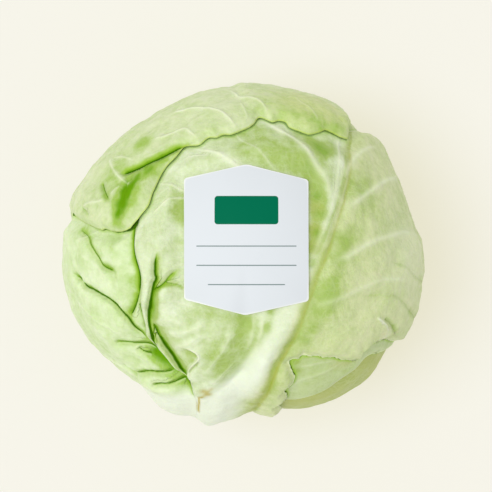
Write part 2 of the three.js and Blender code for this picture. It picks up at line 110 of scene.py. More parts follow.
def head_radius(d):
    """How far the head's surface is from its middle in the directions d."""
    outline = outline_radius(np.arctan2(d[..., 1], d[..., 0]))
    z = d[..., 2]
    pole = np.where(z > 0, TOP_RADIUS, BOTTOM_RADIUS)
    ball = 1 / np.sqrt((1 - z * z) / outline ** 2 + z * z / pole ** 2)
    from_stem = np.degrees(np.arccos(np.clip(d @ STEM, -1, 1)))
    hollow = HOLLOW_DEPTH * np.exp(-((from_stem / HOLLOW_WIDTH) ** 2))
    flat = np.where(z < 0, HEAD_FLAT_DEPTH / np.maximum(-z, 1e-6), np.inf)
    return np.minimum(ball - hollow, flat)


def in_place(d, radius):
    """Points of the scene, in metres, from directions and distances from the head's middle."""
    return (d * radius[..., None] + HEAD_CENTRE) * METRES


print("surface at the stem:", head_radius(STEM).round(1), "mm from the middle")

# %% [markdown]
# ## Camera
# The picture was taken from straight above. A long lens keeps the cabbage free of distortion, and one
# pixel at the height of the head's middle is a bit more than half a millimetre. The camera stands so that
# the head's middle falls where it does in the picture, a little below the picture's middle.

# %% The camera above the cabbage
def add_object(name, data):
    piece = bpy.data.objects.new(name, data)
    bpy.context.scene.collection.objects.link(piece)
    return piece


PICTURE_SIZE = 492
PICTURE_CENTRE = np.array([245.0, 253.0])
MM_PER_PIXEL = 0.5525
CAMERA_HEIGHT = 1500.0
SENSOR = 36.0

eye = bpy.data.cameras.new("eye_above")
eye.sensor_width = SENSOR
eye.lens = SENSOR * CAMERA_HEIGHT / (PICTURE_SIZE * MM_PER_PIXEL)
eye.clip_end = 10
camera = add_object("eye_above", eye)
off_centre = (PICTURE_SIZE / 2 - PICTURE_CENTRE) * MM_PER_PIXEL * np.array([1, -1])
above = HEAD_CENTRE + [off_centre[0], off_centre[1], CAMERA_HEIGHT]
camera.location = above * METRES
bpy.context.scene.camera = camera
print("camera at", tuple(round(x, 3) for x in camera.location), "lens", round(eye.lens), "mm")

# %% [markdown]
# ## Surface and light
# The cabbage lies on a warm white surface without a visible edge, lit so brightly that only a faint
# shadow is left at the right. The surface glows a little, which lifts that shadow as a light table does.
# A broad soft sun at the left and a bright sky light the leaves. The floor belongs to the stage,
# so it isn't part of the object.

# %% The warm white surface
FLOOR_SIZE = 4.0
FLOOR_COLOUR = (0.23, 0.255, 0.38, 1)
FLOOR_GLOW = (0.667, 0.622, 0.414, 1)
FLOOR_GLOW_STRENGTH = 1.0

floor_sheet = bmesh.new()
bmesh.ops.create_grid(floor_sheet, x_segments=1, y_segments=1, size=FLOOR_SIZE / 2)
floor_mesh = bpy.data.meshes.new("floor")
floor_sheet.to_mesh(floor_mesh)
floor_sheet.free()
floor = add_object("floor", floor_mesh)
floor_paint = bpy.data.materials.new("warm_white_surface")
floor_paint.use_nodes = True
floor_shader = floor_paint.node_tree.nodes["Principled BSDF"]
floor_shader.inputs["Base Color"].default_value = FLOOR_COLOUR
floor_shader.inputs["Roughness"].default_value = 0.9
floor_shader.inputs["Specular IOR Level"].default_value = 0.1
floor_shader.inputs["Emission Color"].default_value = FLOOR_GLOW
floor_shader.inputs["Emission Strength"].default_value = FLOOR_GLOW_STRENGTH
floor_mesh.materials.append(floor_paint)
print("floor:", FLOOR_SIZE, "m wide")

# %% The soft sun and the sky
SUN_FROM = Vector((-0.38, 0.0, 1.0))
SUN_STRENGTH = 1.5
SUN_ANGLE = 29
SUN_COLOUR = (1.0, 0.985, 0.95)
SKY_STRENGTH = 0.70
SKY_COLOUR = (1.0, 0.99, 0.965, 1)

sun = bpy.data.lights.new("soft_sun", "SUN")
sun.energy = SUN_STRENGTH
sun.angle = np.radians(SUN_ANGLE)
sun.color = SUN_COLOUR
sun_object = add_object("soft_sun", sun)
sun_object.rotation_euler = SUN_FROM.to_track_quat("Z", "Y").to_euler()
sky = bpy.data.worlds.new("bright_sky")
sky.use_nodes = True
sky.node_tree.nodes["Background"].inputs["Color"].default_value = SKY_COLOUR
sky.node_tree.nodes["Background"].inputs["Strength"].default_value = SKY_STRENGTH
bpy.context.scene.world = sky
bpy.context.scene.view_settings.view_transform = "Standard"
print("sun from", tuple(SUN_FROM), "sky", SKY_STRENGTH)

# %% [markdown]
# ## Places on the cabbage
# It is easiest to say where a fold or a rib is by the column and row where it shows in the picture. From
# there a ray goes down to the head, and the result is a direction from the head's middle. A third value
# of UNDER puts the place on the half that faces the table. Leaves start beside the stem, so a second
# helper gives places round it.

# %% From the picture to the head
UNDER = -1


def place(column, row, side=1, height=WRAPPED):
    """The direction in which a place of the picture lies, at a height over the head."""
    z = 0.0
    for _ in range(6):
        scale = MM_PER_PIXEL * (1 - z / CAMERA_HEIGHT)
        x = (column - PICTURE_CENTRE[0]) * scale
        y = (PICTURE_CENTRE[1] - row) * scale
        radius = outline_radius(np.arctan2(y, x)) + height
        z = side * np.sqrt(max(0, 1 - (x * x + y * y) / radius ** 2)) * (TOP_RADIUS + height)
    return unit(np.array([x, y, z]))


def beside_stem(turn, apart=STEM_CLEARANCE):
    """0 degrees is on the stem's upper side, 90 on its right."""
    turn, apart = np.radians([turn, apart])
    away = STEM_UP * np.cos(turn) + STEM_RIGHT * np.sin(turn)
    return STEM * np.cos(apart) + away * np.sin(apart)


def places(points, height=WRAPPED):
    return np.array([p if isinstance(p, np.ndarray) else place(*p, height=height) for p in points])


print("straight above the head's middle:", place(*PICTURE_CENTRE).round(3))

# %% [markdown]
# ## Lines over the leaves
# Ribs, creases and folds all follow smooth lines. For every point of a leaf the next helper finds how far
# it is from a line, on which side, and how far along. Only points near the line are looked at, which
# keeps it fast.

# %% Smooth lines and the distance from them
def smooth_curve(knots, spacing):
    padded_knots = np.vstack([knots[:1], knots, knots[-1:]])
    t = np.linspace(0, 1, 16, endpoint=False)[:, None]
    spans = zip(padded_knots, padded_knots[1:], padded_knots[2:], padded_knots[3:])
    dense = np.vstack([cubic(*span, t) for span in spans] + [knots[-1:]])
    run = np.concatenate([[0], np.cumsum(np.linalg.norm(np.diff(dense, axis=0), axis=1))])
    count = max(4, int(round(run[-1] / spacing)))
    return at_length(dense, run, np.linspace(0, run[-1], count + 1))


def at_length(dense, run, lengths):
    return np.column_stack([np.interp(lengths, run, column) for column in dense.T])


def surface_line(points, spacing=2.0, height=WRAPPED):
    return smooth_curve(places(points, height) * MEAN_RADIUS, spacing)


def beside(line, d, reach):
    """Distance from the line, side (positive on its right) and share along it, for directions d."""
    point = d * MEAN_RADIUS
    near = ((point > line.min(0) - reach) & (point < line.max(0) + reach)).all(1).nonzero()[0]
    distance = np.full(len(d), 1e3)
    side = np.ones(len(d))
    along = np.zeros(len(d))
    edge = np.diff(line, axis=0)
    for part in np.array_split(near, len(near) // 2000 + 1):
        offset = point[part, None] - line[:-1]
        t = np.clip((offset * edge).sum(2) / (edge ** 2).sum(1), 0, 1)
        gap = np.linalg.norm(offset - t[..., None] * edge, axis=2)
        best = gap.argmin(1)
        pick = np.arange(len(part)), best
        distance[part] = gap[pick]
        turn = (np.cross(offset[pick], edge[best]) * d[part]).sum(1)
        side[part] = np.where(turn > 0, 1, -1)
        along[part] = (best + t[pick]) / len(edge)
    return distance, side, along


print("a line of 100 pixels over the top has", len(surface_line([(200, 250), (300, 250)])), "points")

# %% [markdown]
# ## The leaves' margins
# Each leaf is a sheet between four sides: its base and tip run left to right, its left and right sides
# run from base to tip. The sides are drawn on a flat map of the head round the leaf's middle, on which
# distances from the middle are true.

# %% A flat map round a leaf's middle
def leaf_map(middle):
    centre = place(*middle)
    up = unit(centre * STEM.dot(centre) - STEM)
    return {"centre": centre, "up": up, "across": np.cross(up, centre)}


def flatten(chart, d):
    angle = np.arccos(np.clip(d @ chart["centre"], -1, 1))
    flat = np.stack([d @ chart["across"], d @ chart["up"]], axis=-1)
    length = np.maximum(np.linalg.norm(flat, axis=-1), 1e-9)
    return flat / length[..., None] * (angle * MEAN_RADIUS)[..., None]


def raise_up(chart, flat):
    length = np.maximum(np.linalg.norm(flat, axis=-1, keepdims=True), 1e-9)
    angle = length / MEAN_RADIUS
    sideways = flat / length * np.sin(angle)
    return (chart["centre"] * np.cos(angle) + chart["across"] * sideways[..., :1]
            + chart["up"] * sideways[..., 1:])


stem_on_map = flatten(leaf_map(PICTURE_CENTRE), STEM[None])[0]
print("on a map round the top, the stem lies at", stem_on_map.round(), "mm")

# %% The six leaves, from the inside out
TORN_MARGIN = [
    (256, 412), (266, 413.5), (268, 411), (282, 407.6), (278, 402.5), (287, 396.3), (286, 392), (283, 389.7),
    (292, 383), (295, 376), (292, 370), (288, 361), (295, 358), (299, 358.2), (303, 352.6), (307.6, 355),
    (316.7, 354), (323, 356.6), (333, 356), (341, 358.7), (353.5, 359.2), (358, 357), (361, 350), (370, 342),
    (384, 338), (396, 341),
]
LEAF_SIDES = {
    "leaf_under": {
        "middle": (335, 375),
        "base": [beside_stem(75)],
        "left": [beside_stem(48), (262, 395), (285, 375), (330, 345), (375, 310), (403, 262)],
        "tip": [(413, 250), (408, 238, UNDER)],
        "right": [
            beside_stem(102), (275, 385, UNDER), (318, 356, UNDER), (350, 325, UNDER), (380, 285, UNDER),
            (396, 245, UNDER),
        ],
    },
    "leaf_right": {
        "middle": (335, 345),
        "base": [beside_stem(48)],
        "left": [beside_stem(33), (250, 398), (262, 375), (280, 335), (310, 300)],
        "tip": [(345, 290), (378, 294)],
        "right": [
            beside_stem(62), (262, 407), (279, 402.5), (300, 400), (324, 392), (340, 381), (356, 370),
            (372, 355), (396, 345), (403, 334), (407, 318),
        ],
    },
    "leaf_back": {
        "middle": (285, 220, UNDER),
        "base": [beside_stem(115)],
        "left": [
            beside_stem(65), (305, 374, UNDER), (360, 325, UNDER), (388, 260, UNDER), (390, 200, UNDER),
            (381, 155, UNDER), (366, 138),
        ],
        "tip": [(345, 136), (315, 124)],
        "right": [
            beside_stem(172), (180, 350, UNDER), (178, 300, UNDER), (185, 220, UNDER), (215, 140, UNDER),
            (250, 95), (285, 110),
        ],
    },
    "leaf_left": {
        "middle": (105, 285),
        "base": [beside_stem(-85), beside_stem(-30)],
        "left": [
            beside_stem(-150), (168, 372, UNDER), (138, 340, UNDER), (112, 300, UNDER), (100, 250, UNDER),
            (92, 205, UNDER),
        ],
        "tip": [(75, 197), (100, 202), (130, 200)],
        "right": [
            beside_stem(16), (214, 395), (208, 375), (188, 345), (170, 310), (162, 270), (158, 235),
            (160, 198),
        ],
    },
    "leaf_front": {
        "middle": (285, 262),
        "base": [
            beside_stem(25), beside_stem(58), (256, 411.5), (268, 411), (300, 402), (335, 388), (368, 369),
        ],
        "left": [
            beside_stem(-3), (197.5, 405), (192, 391), (187, 378), (174, 369), (160, 352), (146, 337),
            (144, 325), (139, 300), (140, 277), (134, 253), (133.5, 237), (137.5, 221), (142, 195),
            (156, 165), (185, 137),
        ],
        "right": [
            (393, 354), (400, 330, UNDER), (402, 290, UNDER), (402, 250, UNDER), (396, 210, UNDER),
            (384, 170, UNDER), (385, 153),
        ],
        "tip": [(230, 108), (290, 104), (325, 117), (344, 129), (352, 130.5), (366, 135), (378, 143.5)],
        "torn": TORN_MARGIN,
    },
    "leaf_top": {
        "middle": (175, 170, UNDER),
        "base": [beside_stem(182)],
        "left": [
            beside_stem(150), (240, 372, UNDER), (280, 320, UNDER), (310, 260, UNDER), (335, 200, UNDER),
            (344, 150, UNDER), (348, 125), (347, 139.5),
        ],
        "tip": [
            (340, 137.5), (330, 132.5), (325, 130.5), (320, 132), (310, 133), (300, 129.5), (290, 125.5),
            (286, 120.5), (279, 118.8), (272, 120), (260, 115.5), (254, 122), (246, 127), (232, 132.5),
            (223, 132.8), (216, 135.8), (208, 136), (199, 143), (189, 144), (183, 145.5), (175, 155),
            (166, 164.5), (158, 178), (154, 191), (149.5, 205), (141, 216), (136, 222),
        ],
        "right": [
            beside_stem(215), (152, 372, UNDER), (120, 345, UNDER), (92, 300, UNDER), (75, 250, UNDER),
            (69, 215), (84, 223), (99, 229.3), (104, 228.5), (110, 230.5), (117, 231.5), (125, 230.5),
            (131, 228),
        ],
    },
}
LEAF_ORDER = list(LEAF_SIDES)
print("leaves from the inside out:", LEAF_ORDER)

# %% [markdown]
# A side is a smooth curve, and a place inside the leaf is blended from the four sides. The front leaf's
# lower right is torn away: its sheet is spread smooth first, and the torn margin is cut into it later.

# %% Spread a leaf between its sides
def side_curve(chart, points):
    return smooth_curve(flatten(chart, places(points)), 1.0)


def along_side(curve, share):
    run = np.linspace(0, 1, len(curve))
    return np.column_stack([np.interp(share, run, column) for column in curve.T])


def four_sides(chart, leaf):
    left, right = leaf["left"], leaf["right"]
    return {
        "base": side_curve(chart, [left[0], *leaf["base"], right[0]]),
        "tip": side_curve(chart, [left[-1], *leaf["tip"], right[-1]]),
        "left": side_curve(chart, left),
        "right": side_curve(chart, right),
    }


def spread(sides, u, v):
    base, tip, left, right = (sides[side] for side in ("base", "tip", "left", "right"))
    u, v = u[:, None], v[:, None]
    flat = (1 - v) * along_side(base, u[:, 0]) + v * along_side(tip, u[:, 0])
    flat += (1 - u) * along_side(left, v[:, 0]) + u * along_side(right, v[:, 0])
    flat -= (1 - u) * (1 - v) * base[0] + u * (1 - v) * base[-1]
    return flat - (1 - u) * v * tip[0] - u * v * tip[-1]


print("a leaf is spread between", len(LEAF_SIDES["leaf_left"]) - 1, "sides")

# %% Tear the front leaf's margin
TEAR_ROUGHNESS = 0.35
rough = np.random.default_rng(11)


def torn_curve(chart):
    """The torn margin: straight bits between its corners, made rough."""
    corners = flatten(chart, places(TORN_MARGIN))
    steps = np.maximum(2, np.linalg.norm(np.diff(corners, axis=0), axis=1).round().astype(int))
    bits = [np.linspace(a, b, n, endpoint=False) for a, b, n in zip(corners, corners[1:], steps)]
    curve = np.vstack(bits + [corners[-1:]])
    return curve + rough.uniform(-TEAR_ROUGHNESS, TEAR_ROUGHNESS, curve.shape)


AFTER_TEAR = (399, 340)


def margin_loop(chart, leaf, sides):
    base = sides["base"]
    right = sides["right"]
    if "torn" in leaf:
        whole = side_curve(chart, [leaf["left"][0], *leaf["base"][:2], leaf["torn"][0]])
        base = np.vstack([whole[:-1], torn_curve(chart)])
        right = side_curve(chart, [leaf["torn"][-1], AFTER_TEAR, *leaf["right"][1:]])
    return np.vstack([base[:-1], right[:-1], sides["tip"][::-1][:-1], sides["left"][::-1][:-1]])


print("torn margin: rough by", TEAR_ROUGHNESS, "mm")


# %% How far inside a margin a place is
def inset(loop, flat):
    """How far points are inside a closed loop, negative outside it."""
    start, end = loop, np.roll(loop, -1, axis=0)
    edge = end - start
    length = np.maximum((edge ** 2).sum(1), 1e-9)
    rise = np.where(edge[:, 1] == 0, 1e-9, edge[:, 1])
    result = np.empty(len(flat))
    for part in np.array_split(np.arange(len(flat)), len(flat) // 3000 + 1):
        offset = flat[part, None] - start
        t = np.clip((offset * edge).sum(2) / length, 0, 1)
        least = np.sqrt(((offset - t[..., None] * edge) ** 2).sum(2).min(1))
        y = flat[part, 1, None]
        crosses = (start[:, 1] > y) != (end[:, 1] > y)
        left_of = flat[part, 0, None] < start[:, 0] + offset[..., 1] * edge[:, 0] / rise
        inside = (crosses & left_of).sum(1) % 2 == 1
        result[part] = np.where(inside, least, -least)
    return result


UNIT_SQUARE = np.array([[0, 0], [1, 0], [1, 1], [0, 1]])
print("middle of a unit square:", inset(UNIT_SQUARE, np.array([[0.5, 0.5]]))[0], "inside")

# %% [markdown]
# ## How the leaves lie on each other
# A leaf rises where others lie under it, from a little outside their margins. It is flat where others
# press on it, where the label sticks, and on the table. Each leaf therefore has to know how far a
# direction is inside every other leaf. That is worked out once on a coarse chart and then looked up.

# %% Charts of the leaves' margins
CHART_STEP = 2.0
CHART_BORDER = 22.0


def chart_of(middle, loop_maker):
    chart = leaf_map(middle)
    loop = loop_maker(chart)
    low = loop.min(0) - CHART_BORDER
    size = np.ceil((loop.max(0) + CHART_BORDER - low) / CHART_STEP).astype(int) + 1
    x, y = np.meshgrid(*[low[k] + CHART_STEP * np.arange(size[k]) for k in (0, 1)], indexing="ij")
    depth = inset(loop, np.column_stack([x.ravel(), y.ravel()])).reshape(size)
    return {"chart": chart, "loop": loop, "low": low, "depth": depth}


def look_up(margin, d):
    depth = margin["depth"]
    cell = (flatten(margin["chart"], d) - margin["low"]) / CHART_STEP
    inside = ((cell >= 0) & (cell <= np.array(depth.shape) - 1.001)).all(1)
    cell = np.clip(cell, 0, np.array(depth.shape) - 1.001)
    i, j = np.floor(cell).astype(int).T
    s, t = (cell - np.floor(cell)).T
    value = (depth[i, j] * (1 - s) * (1 - t) + depth[i + 1, j] * s * (1 - t)
             + depth[i, j + 1] * (1 - s) * t + depth[i + 1, j + 1] * s * t)
    return np.where(inside, value, -CHART_BORDER)


margins = {}
for name, leaf in LEAF_SIDES.items():
    margins[name] = chart_of(leaf["middle"], lambda chart: margin_loop(chart, leaf, four_sides(chart, leaf)))
LABEL_MIDDLE = (246, 239)
LABEL_CORNERS = [(245.3, 315), (308.8, 300.6), (308.8, 179), (246.6, 163.3), (183.8, 177.7), (183.8, 299.3)]
label_margin = chart_of(LABEL_MIDDLE, lambda chart: flatten(chart, places(LABEL_CORNERS)))
print("margins:", {name: len(margin["loop"]) for name, margin in margins.items()})

# %% Stack and press the leaves
LEAF_THICKNESS = 0.9
LEAF_GAP = 0.95
STACK_REACH = (-12.0, -1.5)
PRESS_REACH = (-13.0, -1.5)
WIDE_PRESS = (-21.0, -1.5)
TABLE_PRESS = (0.8, 0.9)


def lift_under(name, d):
    lift = np.full(len(d), LEAF_GAP)
    for below in LEAF_ORDER[:LEAF_ORDER.index(name)]:
        lift += (LEAF_THICKNESS + LEAF_GAP) * smoothstep(look_up(margins[below], d), *STACK_REACH)
    return lift


def press_on(name, d):
    press = smoothstep(-d[:, 2], *TABLE_PRESS)
    if name == "leaf_front":
        press = np.maximum(press, smoothstep(look_up(label_margin, d), *PRESS_REACH))
        press = np.maximum(press, smoothstep(look_up(margins["leaf_top"], d), *WIDE_PRESS))
    for over in LEAF_ORDER[LEAF_ORDER.index(name) + 1:]:
        press = np.maximum(press, smoothstep(look_up(margins[over], d), *PRESS_REACH))
    return press


print("stacked leaves lie", LEAF_THICKNESS + LEAF_GAP, "mm apart")

# %% [markdown]
# ## A leaf to work on
# A leaf starts as a flat grid, which is spread over the head. Until its mesh is made it is a set of
# columns, one value for each point: how high it stands, and how much it is vein, crease, white base or
# deep green. Much of the crease, dusk and deep green is painted shade, and some of the white is painted
# light. The tools below change those columns.

# %% Start a leaf as a grid
# One column holds real brown spots and also painted olive shade by the midrib; the warm column is partly
# painted shade
COLUMNS = (
    "rise", "flesh", "curl", "vein", "vein_gap", "crease", "crease_gap",
    "dusk", "white", "deep", "dry", "warm",
)


def crowded(share, stations):
    """Shares moved so that the grid is finer where the picture shows the leaf."""
    return np.interp(share, *zip(*stations)) if stations else share


def start_leaf(name, columns, rows, across=None, along=None, puff=0.0):
    blank = bmesh.new()
    bmesh.ops.create_grid(blank, x_segments=columns, y_segments=rows, size=0.5)
    corners = np.array([v.co[:2] for v in blank.verts]) + 0.5
    sides = four_sides(margins[name]["chart"], LEAF_SIDES[name])
    flat = spread(sides, crowded(corners[:, 0], across), crowded(corners[:, 1], along))
    leaf = {"name": name, "grid": blank, "puff": np.full(len(flat), float(puff))}
    if "torn" in LEAF_SIDES[name]:
        flat = tear(leaf, flat)
    leaf["d"] = raise_up(margins[name]["chart"], flat)
    leaf["inset"] = inset(margins[name]["loop"], flat)
    leaf["press"] = press_on(name, leaf["d"])
    leaf["lift"] = lift_under(name, leaf["d"])
    for column in COLUMNS:
        leaf[column] = np.zeros(len(flat))
    over = [look_up(margins[name], leaf["d"]) for name in LEAF_ORDER[LEAF_ORDER.index(name) + 1:]]
    leaf["over"] = np.max(over, axis=0) if over else np.full(len(flat), -CHART_BORDER)
    print(name, "has", len(flat), "points")
    return leaf


TEAR_CATCH = 1.1


def tear(leaf, flat):
    """Remove the points outside the torn margin and pull those on the brink onto it."""
    loop = margins[leaf["name"]]["loop"]
    depth = inset(loop, flat)
    blank = leaf["grid"]
    blank.verts.ensure_lookup_table()
    gone = depth < -TEAR_CATCH
    bmesh.ops.delete(blank, geom=[blank.verts[k] for k in gone.nonzero()[0]], context="VERTS")
    leaf["puff"] = leaf["puff"][~gone]
    flat, depth = flat[~gone], depth[~gone]
    brink = (depth < 0).nonzero()[0]
    flat[brink] = nearest_on(loop, flat[brink])
    return flat


def nearest_on(loop, points):
    edge = np.roll(loop, -1, axis=0) - loop
    offset = points[:, None] - loop
    t = np.clip((offset * edge).sum(2) / np.maximum((edge ** 2).sum(1), 1e-9), 0, 1)
    foot = loop + t[..., None] * edge
    best = ((points[:, None] - foot) ** 2).sum(2).argmin(1)
    return foot[np.arange(len(points)), best]


# %% Veins
PUFFED = 6.5


def blend_along(ends, along):
    return ends[0] + (ends[1] - ends[0]) * along


def vein(leaf, points, width, height=(0.0, 0.0), tint=(1.0, 0.6)):
    """A raised pale line. Widths, heights and tints go from its start to its end."""
    distance, side, along = beside(surface_line(points, height=PUFFED), leaf["d"], 3 * max(width))
    t = distance / blend_along(width, along)
    ends = smoothstep(along, -0.02, 0.15) * (1 - smoothstep(along, 0.8, 1.02))
    leaf["rise"] += blend_along(height, along) * ends * np.exp(-t * t)
    tint_here = blend_along(tint, along) * ends * np.maximum(0, 1 - t / 3)
    keep_strongest(leaf, "vein", tint_here, side * t)


def keep_strongest(leaf, column, strength, signed_gap):
    """Where a line is stronger than those before it, its strength and its signed distance count."""
    stronger = strength > leaf[column]
    leaf[column][stronger] = strength[stronger]
    leaf[column + "_gap"][stronger] = signed_gap[stronger]


print("veins are placed", PUFFED, "mm over the head")

# %% Creases and ridges
CREASE_REACH = 5.0
LEAST_DUSK = 0.3


def crease(leaf, points, reach, depth=(0.9, 0.9), dark=(1.0, 1.0), shade_green=(0.0, 0.0)):
    """A sharp valley. Its reach, and how green the painted shade beside it is, are given for its left and
    its right.

    The greener side is the shaded one, painted as shade, where "dusk" says how strongly. The other side gets
    a bright lip, a painted highlight."""
    distance, side, along = beside(surface_line(points, 1.5), leaf["d"], 3 * max(reach))
    own_reach = np.where(side > 0, reach[1], reach[0])
    ends = smoothstep(along, -0.01, 0.12) * (1 - 0.7 * smoothstep(along, 0.85, 1.01))
    fall = np.maximum(0, 1 - distance / own_reach) ** 2
    leaf["puff"] *= 1 - blend_along(depth, along) * fall * ends
    shade = blend_along(dark, along) * ends * np.maximum(0, 1 - distance / CREASE_REACH)
    shaded_side = 1 if shade_green[1] >= shade_green[0] else -1
    # The shaded side is painted greener: "dusk" for the skin, and more deep green below
    leaf["dusk"][shade > leaf["crease"]] = min(1.0, LEAST_DUSK + max(shade_green))
    keep_strongest(leaf, "crease", shade, distance * side * shaded_side)
    own_shade_green = np.where(side > 0, shade_green[1], shade_green[0]) * np.where(side == shaded_side, 1.0, 0.4)
    leaf["deep"] += own_shade_green * ends * np.exp(-distance / (0.5 * own_reach))


def ridge(leaf, points, reach, height=(1.0, 1.0), pale=0.0):
    """A raised fold, with its own reach on its left and right."""
    distance, side, along = beside(surface_line(points, 1.5, PUFFED), leaf["d"], 2 * max(reach))
    own_reach = np.where(side > 0, reach[1], reach[0])
    ends = smoothstep(along, -0.01, 0.15) * (1 - smoothstep(along, 0.85, 1.01))
    fall = np.cos(np.pi / 2 * np.minimum(1, distance / own_reach)) ** 2
    leaf["rise"] += blend_along(height, along) * fall * ends
    keep_strongest(leaf, "vein", pale * ends * np.maximum(0, 1 - distance / 3), distance * side)


print("a crease shades the leaf up to", CREASE_REACH, "mm away")


# %% Spots, streaks and bands
def spots(leaf, column, *rows):
    """Soft round changes of one column, such as bulges or patches of deeper green.

    A row is the place in the picture, the radius in millimetres and the amount."""
    for x, y, radius, amount in rows:
        away = np.linalg.norm(leaf["d"] - place(x, y, height=PUFFED), axis=1) * MEAN_RADIUS
        leaf[column] += amount * np.exp(-((away / radius) ** 2))


def streak(leaf, column, points, reach, amount):
    """A soft change of one column along a line."""
    distance, _, along = beside(surface_line(points, height=PUFFED), leaf["d"], 3 * reach)
    ends = smoothstep(along, -0.02, 0.15) * (1 - smoothstep(along, 0.85, 1.02))
    leaf[column] += amount * ends * np.exp(-((distance / reach) ** 2))


RIB_HEIGHT = 9.0
EDGE_REACH = 60
LINE_REACH = 200


def between(leaf, left_edge, right_edge):
    """How far points are inside each of two lines that run the same way."""
    from_left, left_side, _ = beside(surface_line(left_edge, height=RIB_HEIGHT), leaf["d"], EDGE_REACH)
    from_right, right_side, _ = beside(surface_line(right_edge, height=RIB_HEIGHT), leaf["d"], EDGE_REACH)
    return from_left * left_side, -from_right * right_side


def below_line(leaf, points, soft):
    """1 on the right of a line, 0 on its left."""
    distance, side, _ = beside(surface_line(points, height=PUFFED), leaf["d"], LINE_REACH)
    return smoothstep(distance * side, -soft, soft)


print("the midrib's edges are placed", RIB_HEIGHT, "mm over the head")


# %% Margins and fleshy bases
def hug(leaf, depth, reach=4.0):
    """Bring the leaf's margin down onto the leaf below."""
    leaf["curl"] -= depth * np.exp(-np.maximum(leaf["inset"], 0) / reach)


def uncovered(leaf):
    return 1 - smoothstep(leaf["over"], 0.5, 2.5)


BASE_FLESH = 2.2


def fatten_base(leaf, amount, white_base):
    """Fill the hollow round the stem with the leaf's thick base, where no other leaf lies on it."""
    from_stem = np.degrees(np.arccos(np.clip(leaf["d"] @ STEM, -1, 1)))
    upper = smoothstep(leaf["d"] @ STEM_UP, -0.25, 0.05) * uncovered(leaf)
    round_off = smoothstep(from_stem, STEM_CLEARANCE - 1, STEM_CLEARANCE + 5)
    fill = amount * np.exp(-((from_stem / HOLLOW_WIDTH) ** 2)) + BASE_FLESH * white_base
    leaf["flesh"] += fill * upper * round_off
    leaf["puff"] *= 1 - 0.8 * white_base


print("a white base is", BASE_FLESH, "mm thicker than the blade")


# %% Uneven waves
def vary(leaf, column, size, share, seed):
    """Make one column uneven."""
    shift = Vector((seed * 4.9, seed * 8.3, seed * 2.3))
    leaf[column] *= [1 + share * noise.noise(Vector(p) * MEAN_RADIUS / size + shift) for p in leaf["d"]]


def crumple(leaf, size, height, seed):
    """Small uneven waves over the whole leaf."""
    shift = Vector((seed * 7.3, seed * 3.1, seed * 5.7))
    waves = [noise.fractal(Vector(p) * MEAN_RADIUS / size + shift, 0.8, 2.0, 3) for p in leaf["d"]]
    leaf["rise"] += height * np.array(waves)


# Without a seed, Blender's noise vectors start from the clock and differ from run to run
NOISE_SEED = 1
noise.seed_set(NOISE_SEED)


def quilt(leaf, cell, height, seed):
    """Soft small bulges between the fine veins, which lie in the valleys between them."""
    shift = Vector((seed * 2.9, seed * 6.1, seed * 4.3))
    for k, p in enumerate(leaf["d"]):
        point = Vector(p) * MEAN_RADIUS / cell
        bent = point + shift + 0.5 * noise.noise_vector(point * 0.7)
        nearest, second = noise.voronoi(bent)[0][:2]
        leaf["rise"][k] += height * min(1.0, 2.2 * (second - nearest)) - 0.6 * height


print("three kinds of unevenness: vary, crumple and quilt")

# %% Greener hollows, painted as shade
SOFTENING_ROUNDS = 60


def soften(leaf, values, rounds):
    """Values evened out with their neighbours over and over."""
    ends = np.array([[v.index for v in e.verts] for e in leaf["grid"].edges])
    a, b = ends.T
    count = len(values)
    neighbours = np.bincount(a, minlength=count) + np.bincount(b, minlength=count)
    for _ in range(rounds):
        total = np.bincount(a, values[b], count) + np.bincount(b, values[a], count)
        values = 0.5 * (values + total / neighbours)
    return values


def green_hollows(leaf, share):
    """Hollows are painted greener than bulges, a painted shade for the light that comes to them through more
    leaf.
    """
    leaf["grid"].verts.index_update()
    height = leaf["puff"] + leaf["rise"]
    hollow = soften(leaf, height, SOFTENING_ROUNDS) - height
    leaf["deep"] += share * np.clip(hollow, -1.0, 2.0)


print("hollows are found by", SOFTENING_ROUNDS, "rounds of softening")

# %% [markdown]
# When a leaf's columns are ready, its points go to their places and the columns become attributes of the
# mesh, which the leaf's material reads. A Solidify modifier gives the blade its thickness, inwards.

# %% Turn a leaf into a mesh
BLADE = 0.65
MARGIN_FADE = (0.0, 5.0)
LEAST_RELIEF = -0.9
SHARES = ("vein", "crease", "dusk", "white", "deep", "dry", "warm")
DISTANCES = ("vein_gap", "crease_gap", "inset", "over")


def leaf_radius(leaf):
    d = leaf["d"]
    relief = (leaf["puff"] + leaf["rise"]) * (1 - leaf["press"]) * smoothstep(leaf["inset"], *MARGIN_FADE)
    relief = np.maximum(relief + leaf["flesh"] + leaf["curl"], LEAST_RELIEF)
    outer = head_radius(d) + leaf["lift"] + LEAF_THICKNESS + relief
    table = np.where(d[:, 2] < 0, REST_DEPTH / np.maximum(-d[:, 2], 1e-6), np.inf)
    return np.minimum(outer, table)


def mesh_from(grid, name, points):
    mesh = bpy.data.meshes.new(name)
    grid.to_mesh(mesh)
    grid.free()
    mesh.vertices.foreach_set("co", points.ravel())
    mesh.polygons.foreach_set("use_smooth", [True] * len(mesh.polygons))
    mesh.update()
    return mesh


def thicken(piece, name, thickness):
    wall = piece.modifiers.new(name, "SOLIDIFY")
    wall.thickness = thickness * METRES
    wall.offset = -1


def finish_leaf(leaf, piece_name, skin):
    mesh = mesh_from(leaf["grid"], piece_name, in_place(leaf["d"], leaf_radius(leaf)))
    for column in SHARES + DISTANCES:
        values = np.clip(leaf[column], 0, 3) if column in SHARES else leaf[column]
        mesh.attributes.new(column, "FLOAT", "POINT").data.foreach_set("value", values.astype(np.float32))
    mesh.materials.append(skin)
    piece = add_object(piece_name, mesh)
    thicken(piece, "blade", BLADE)
    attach(piece, "root")
    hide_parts(leaf["name"])
    print(piece_name, "replaces", leaf["name"], "with", len(mesh.polygons), "faces")
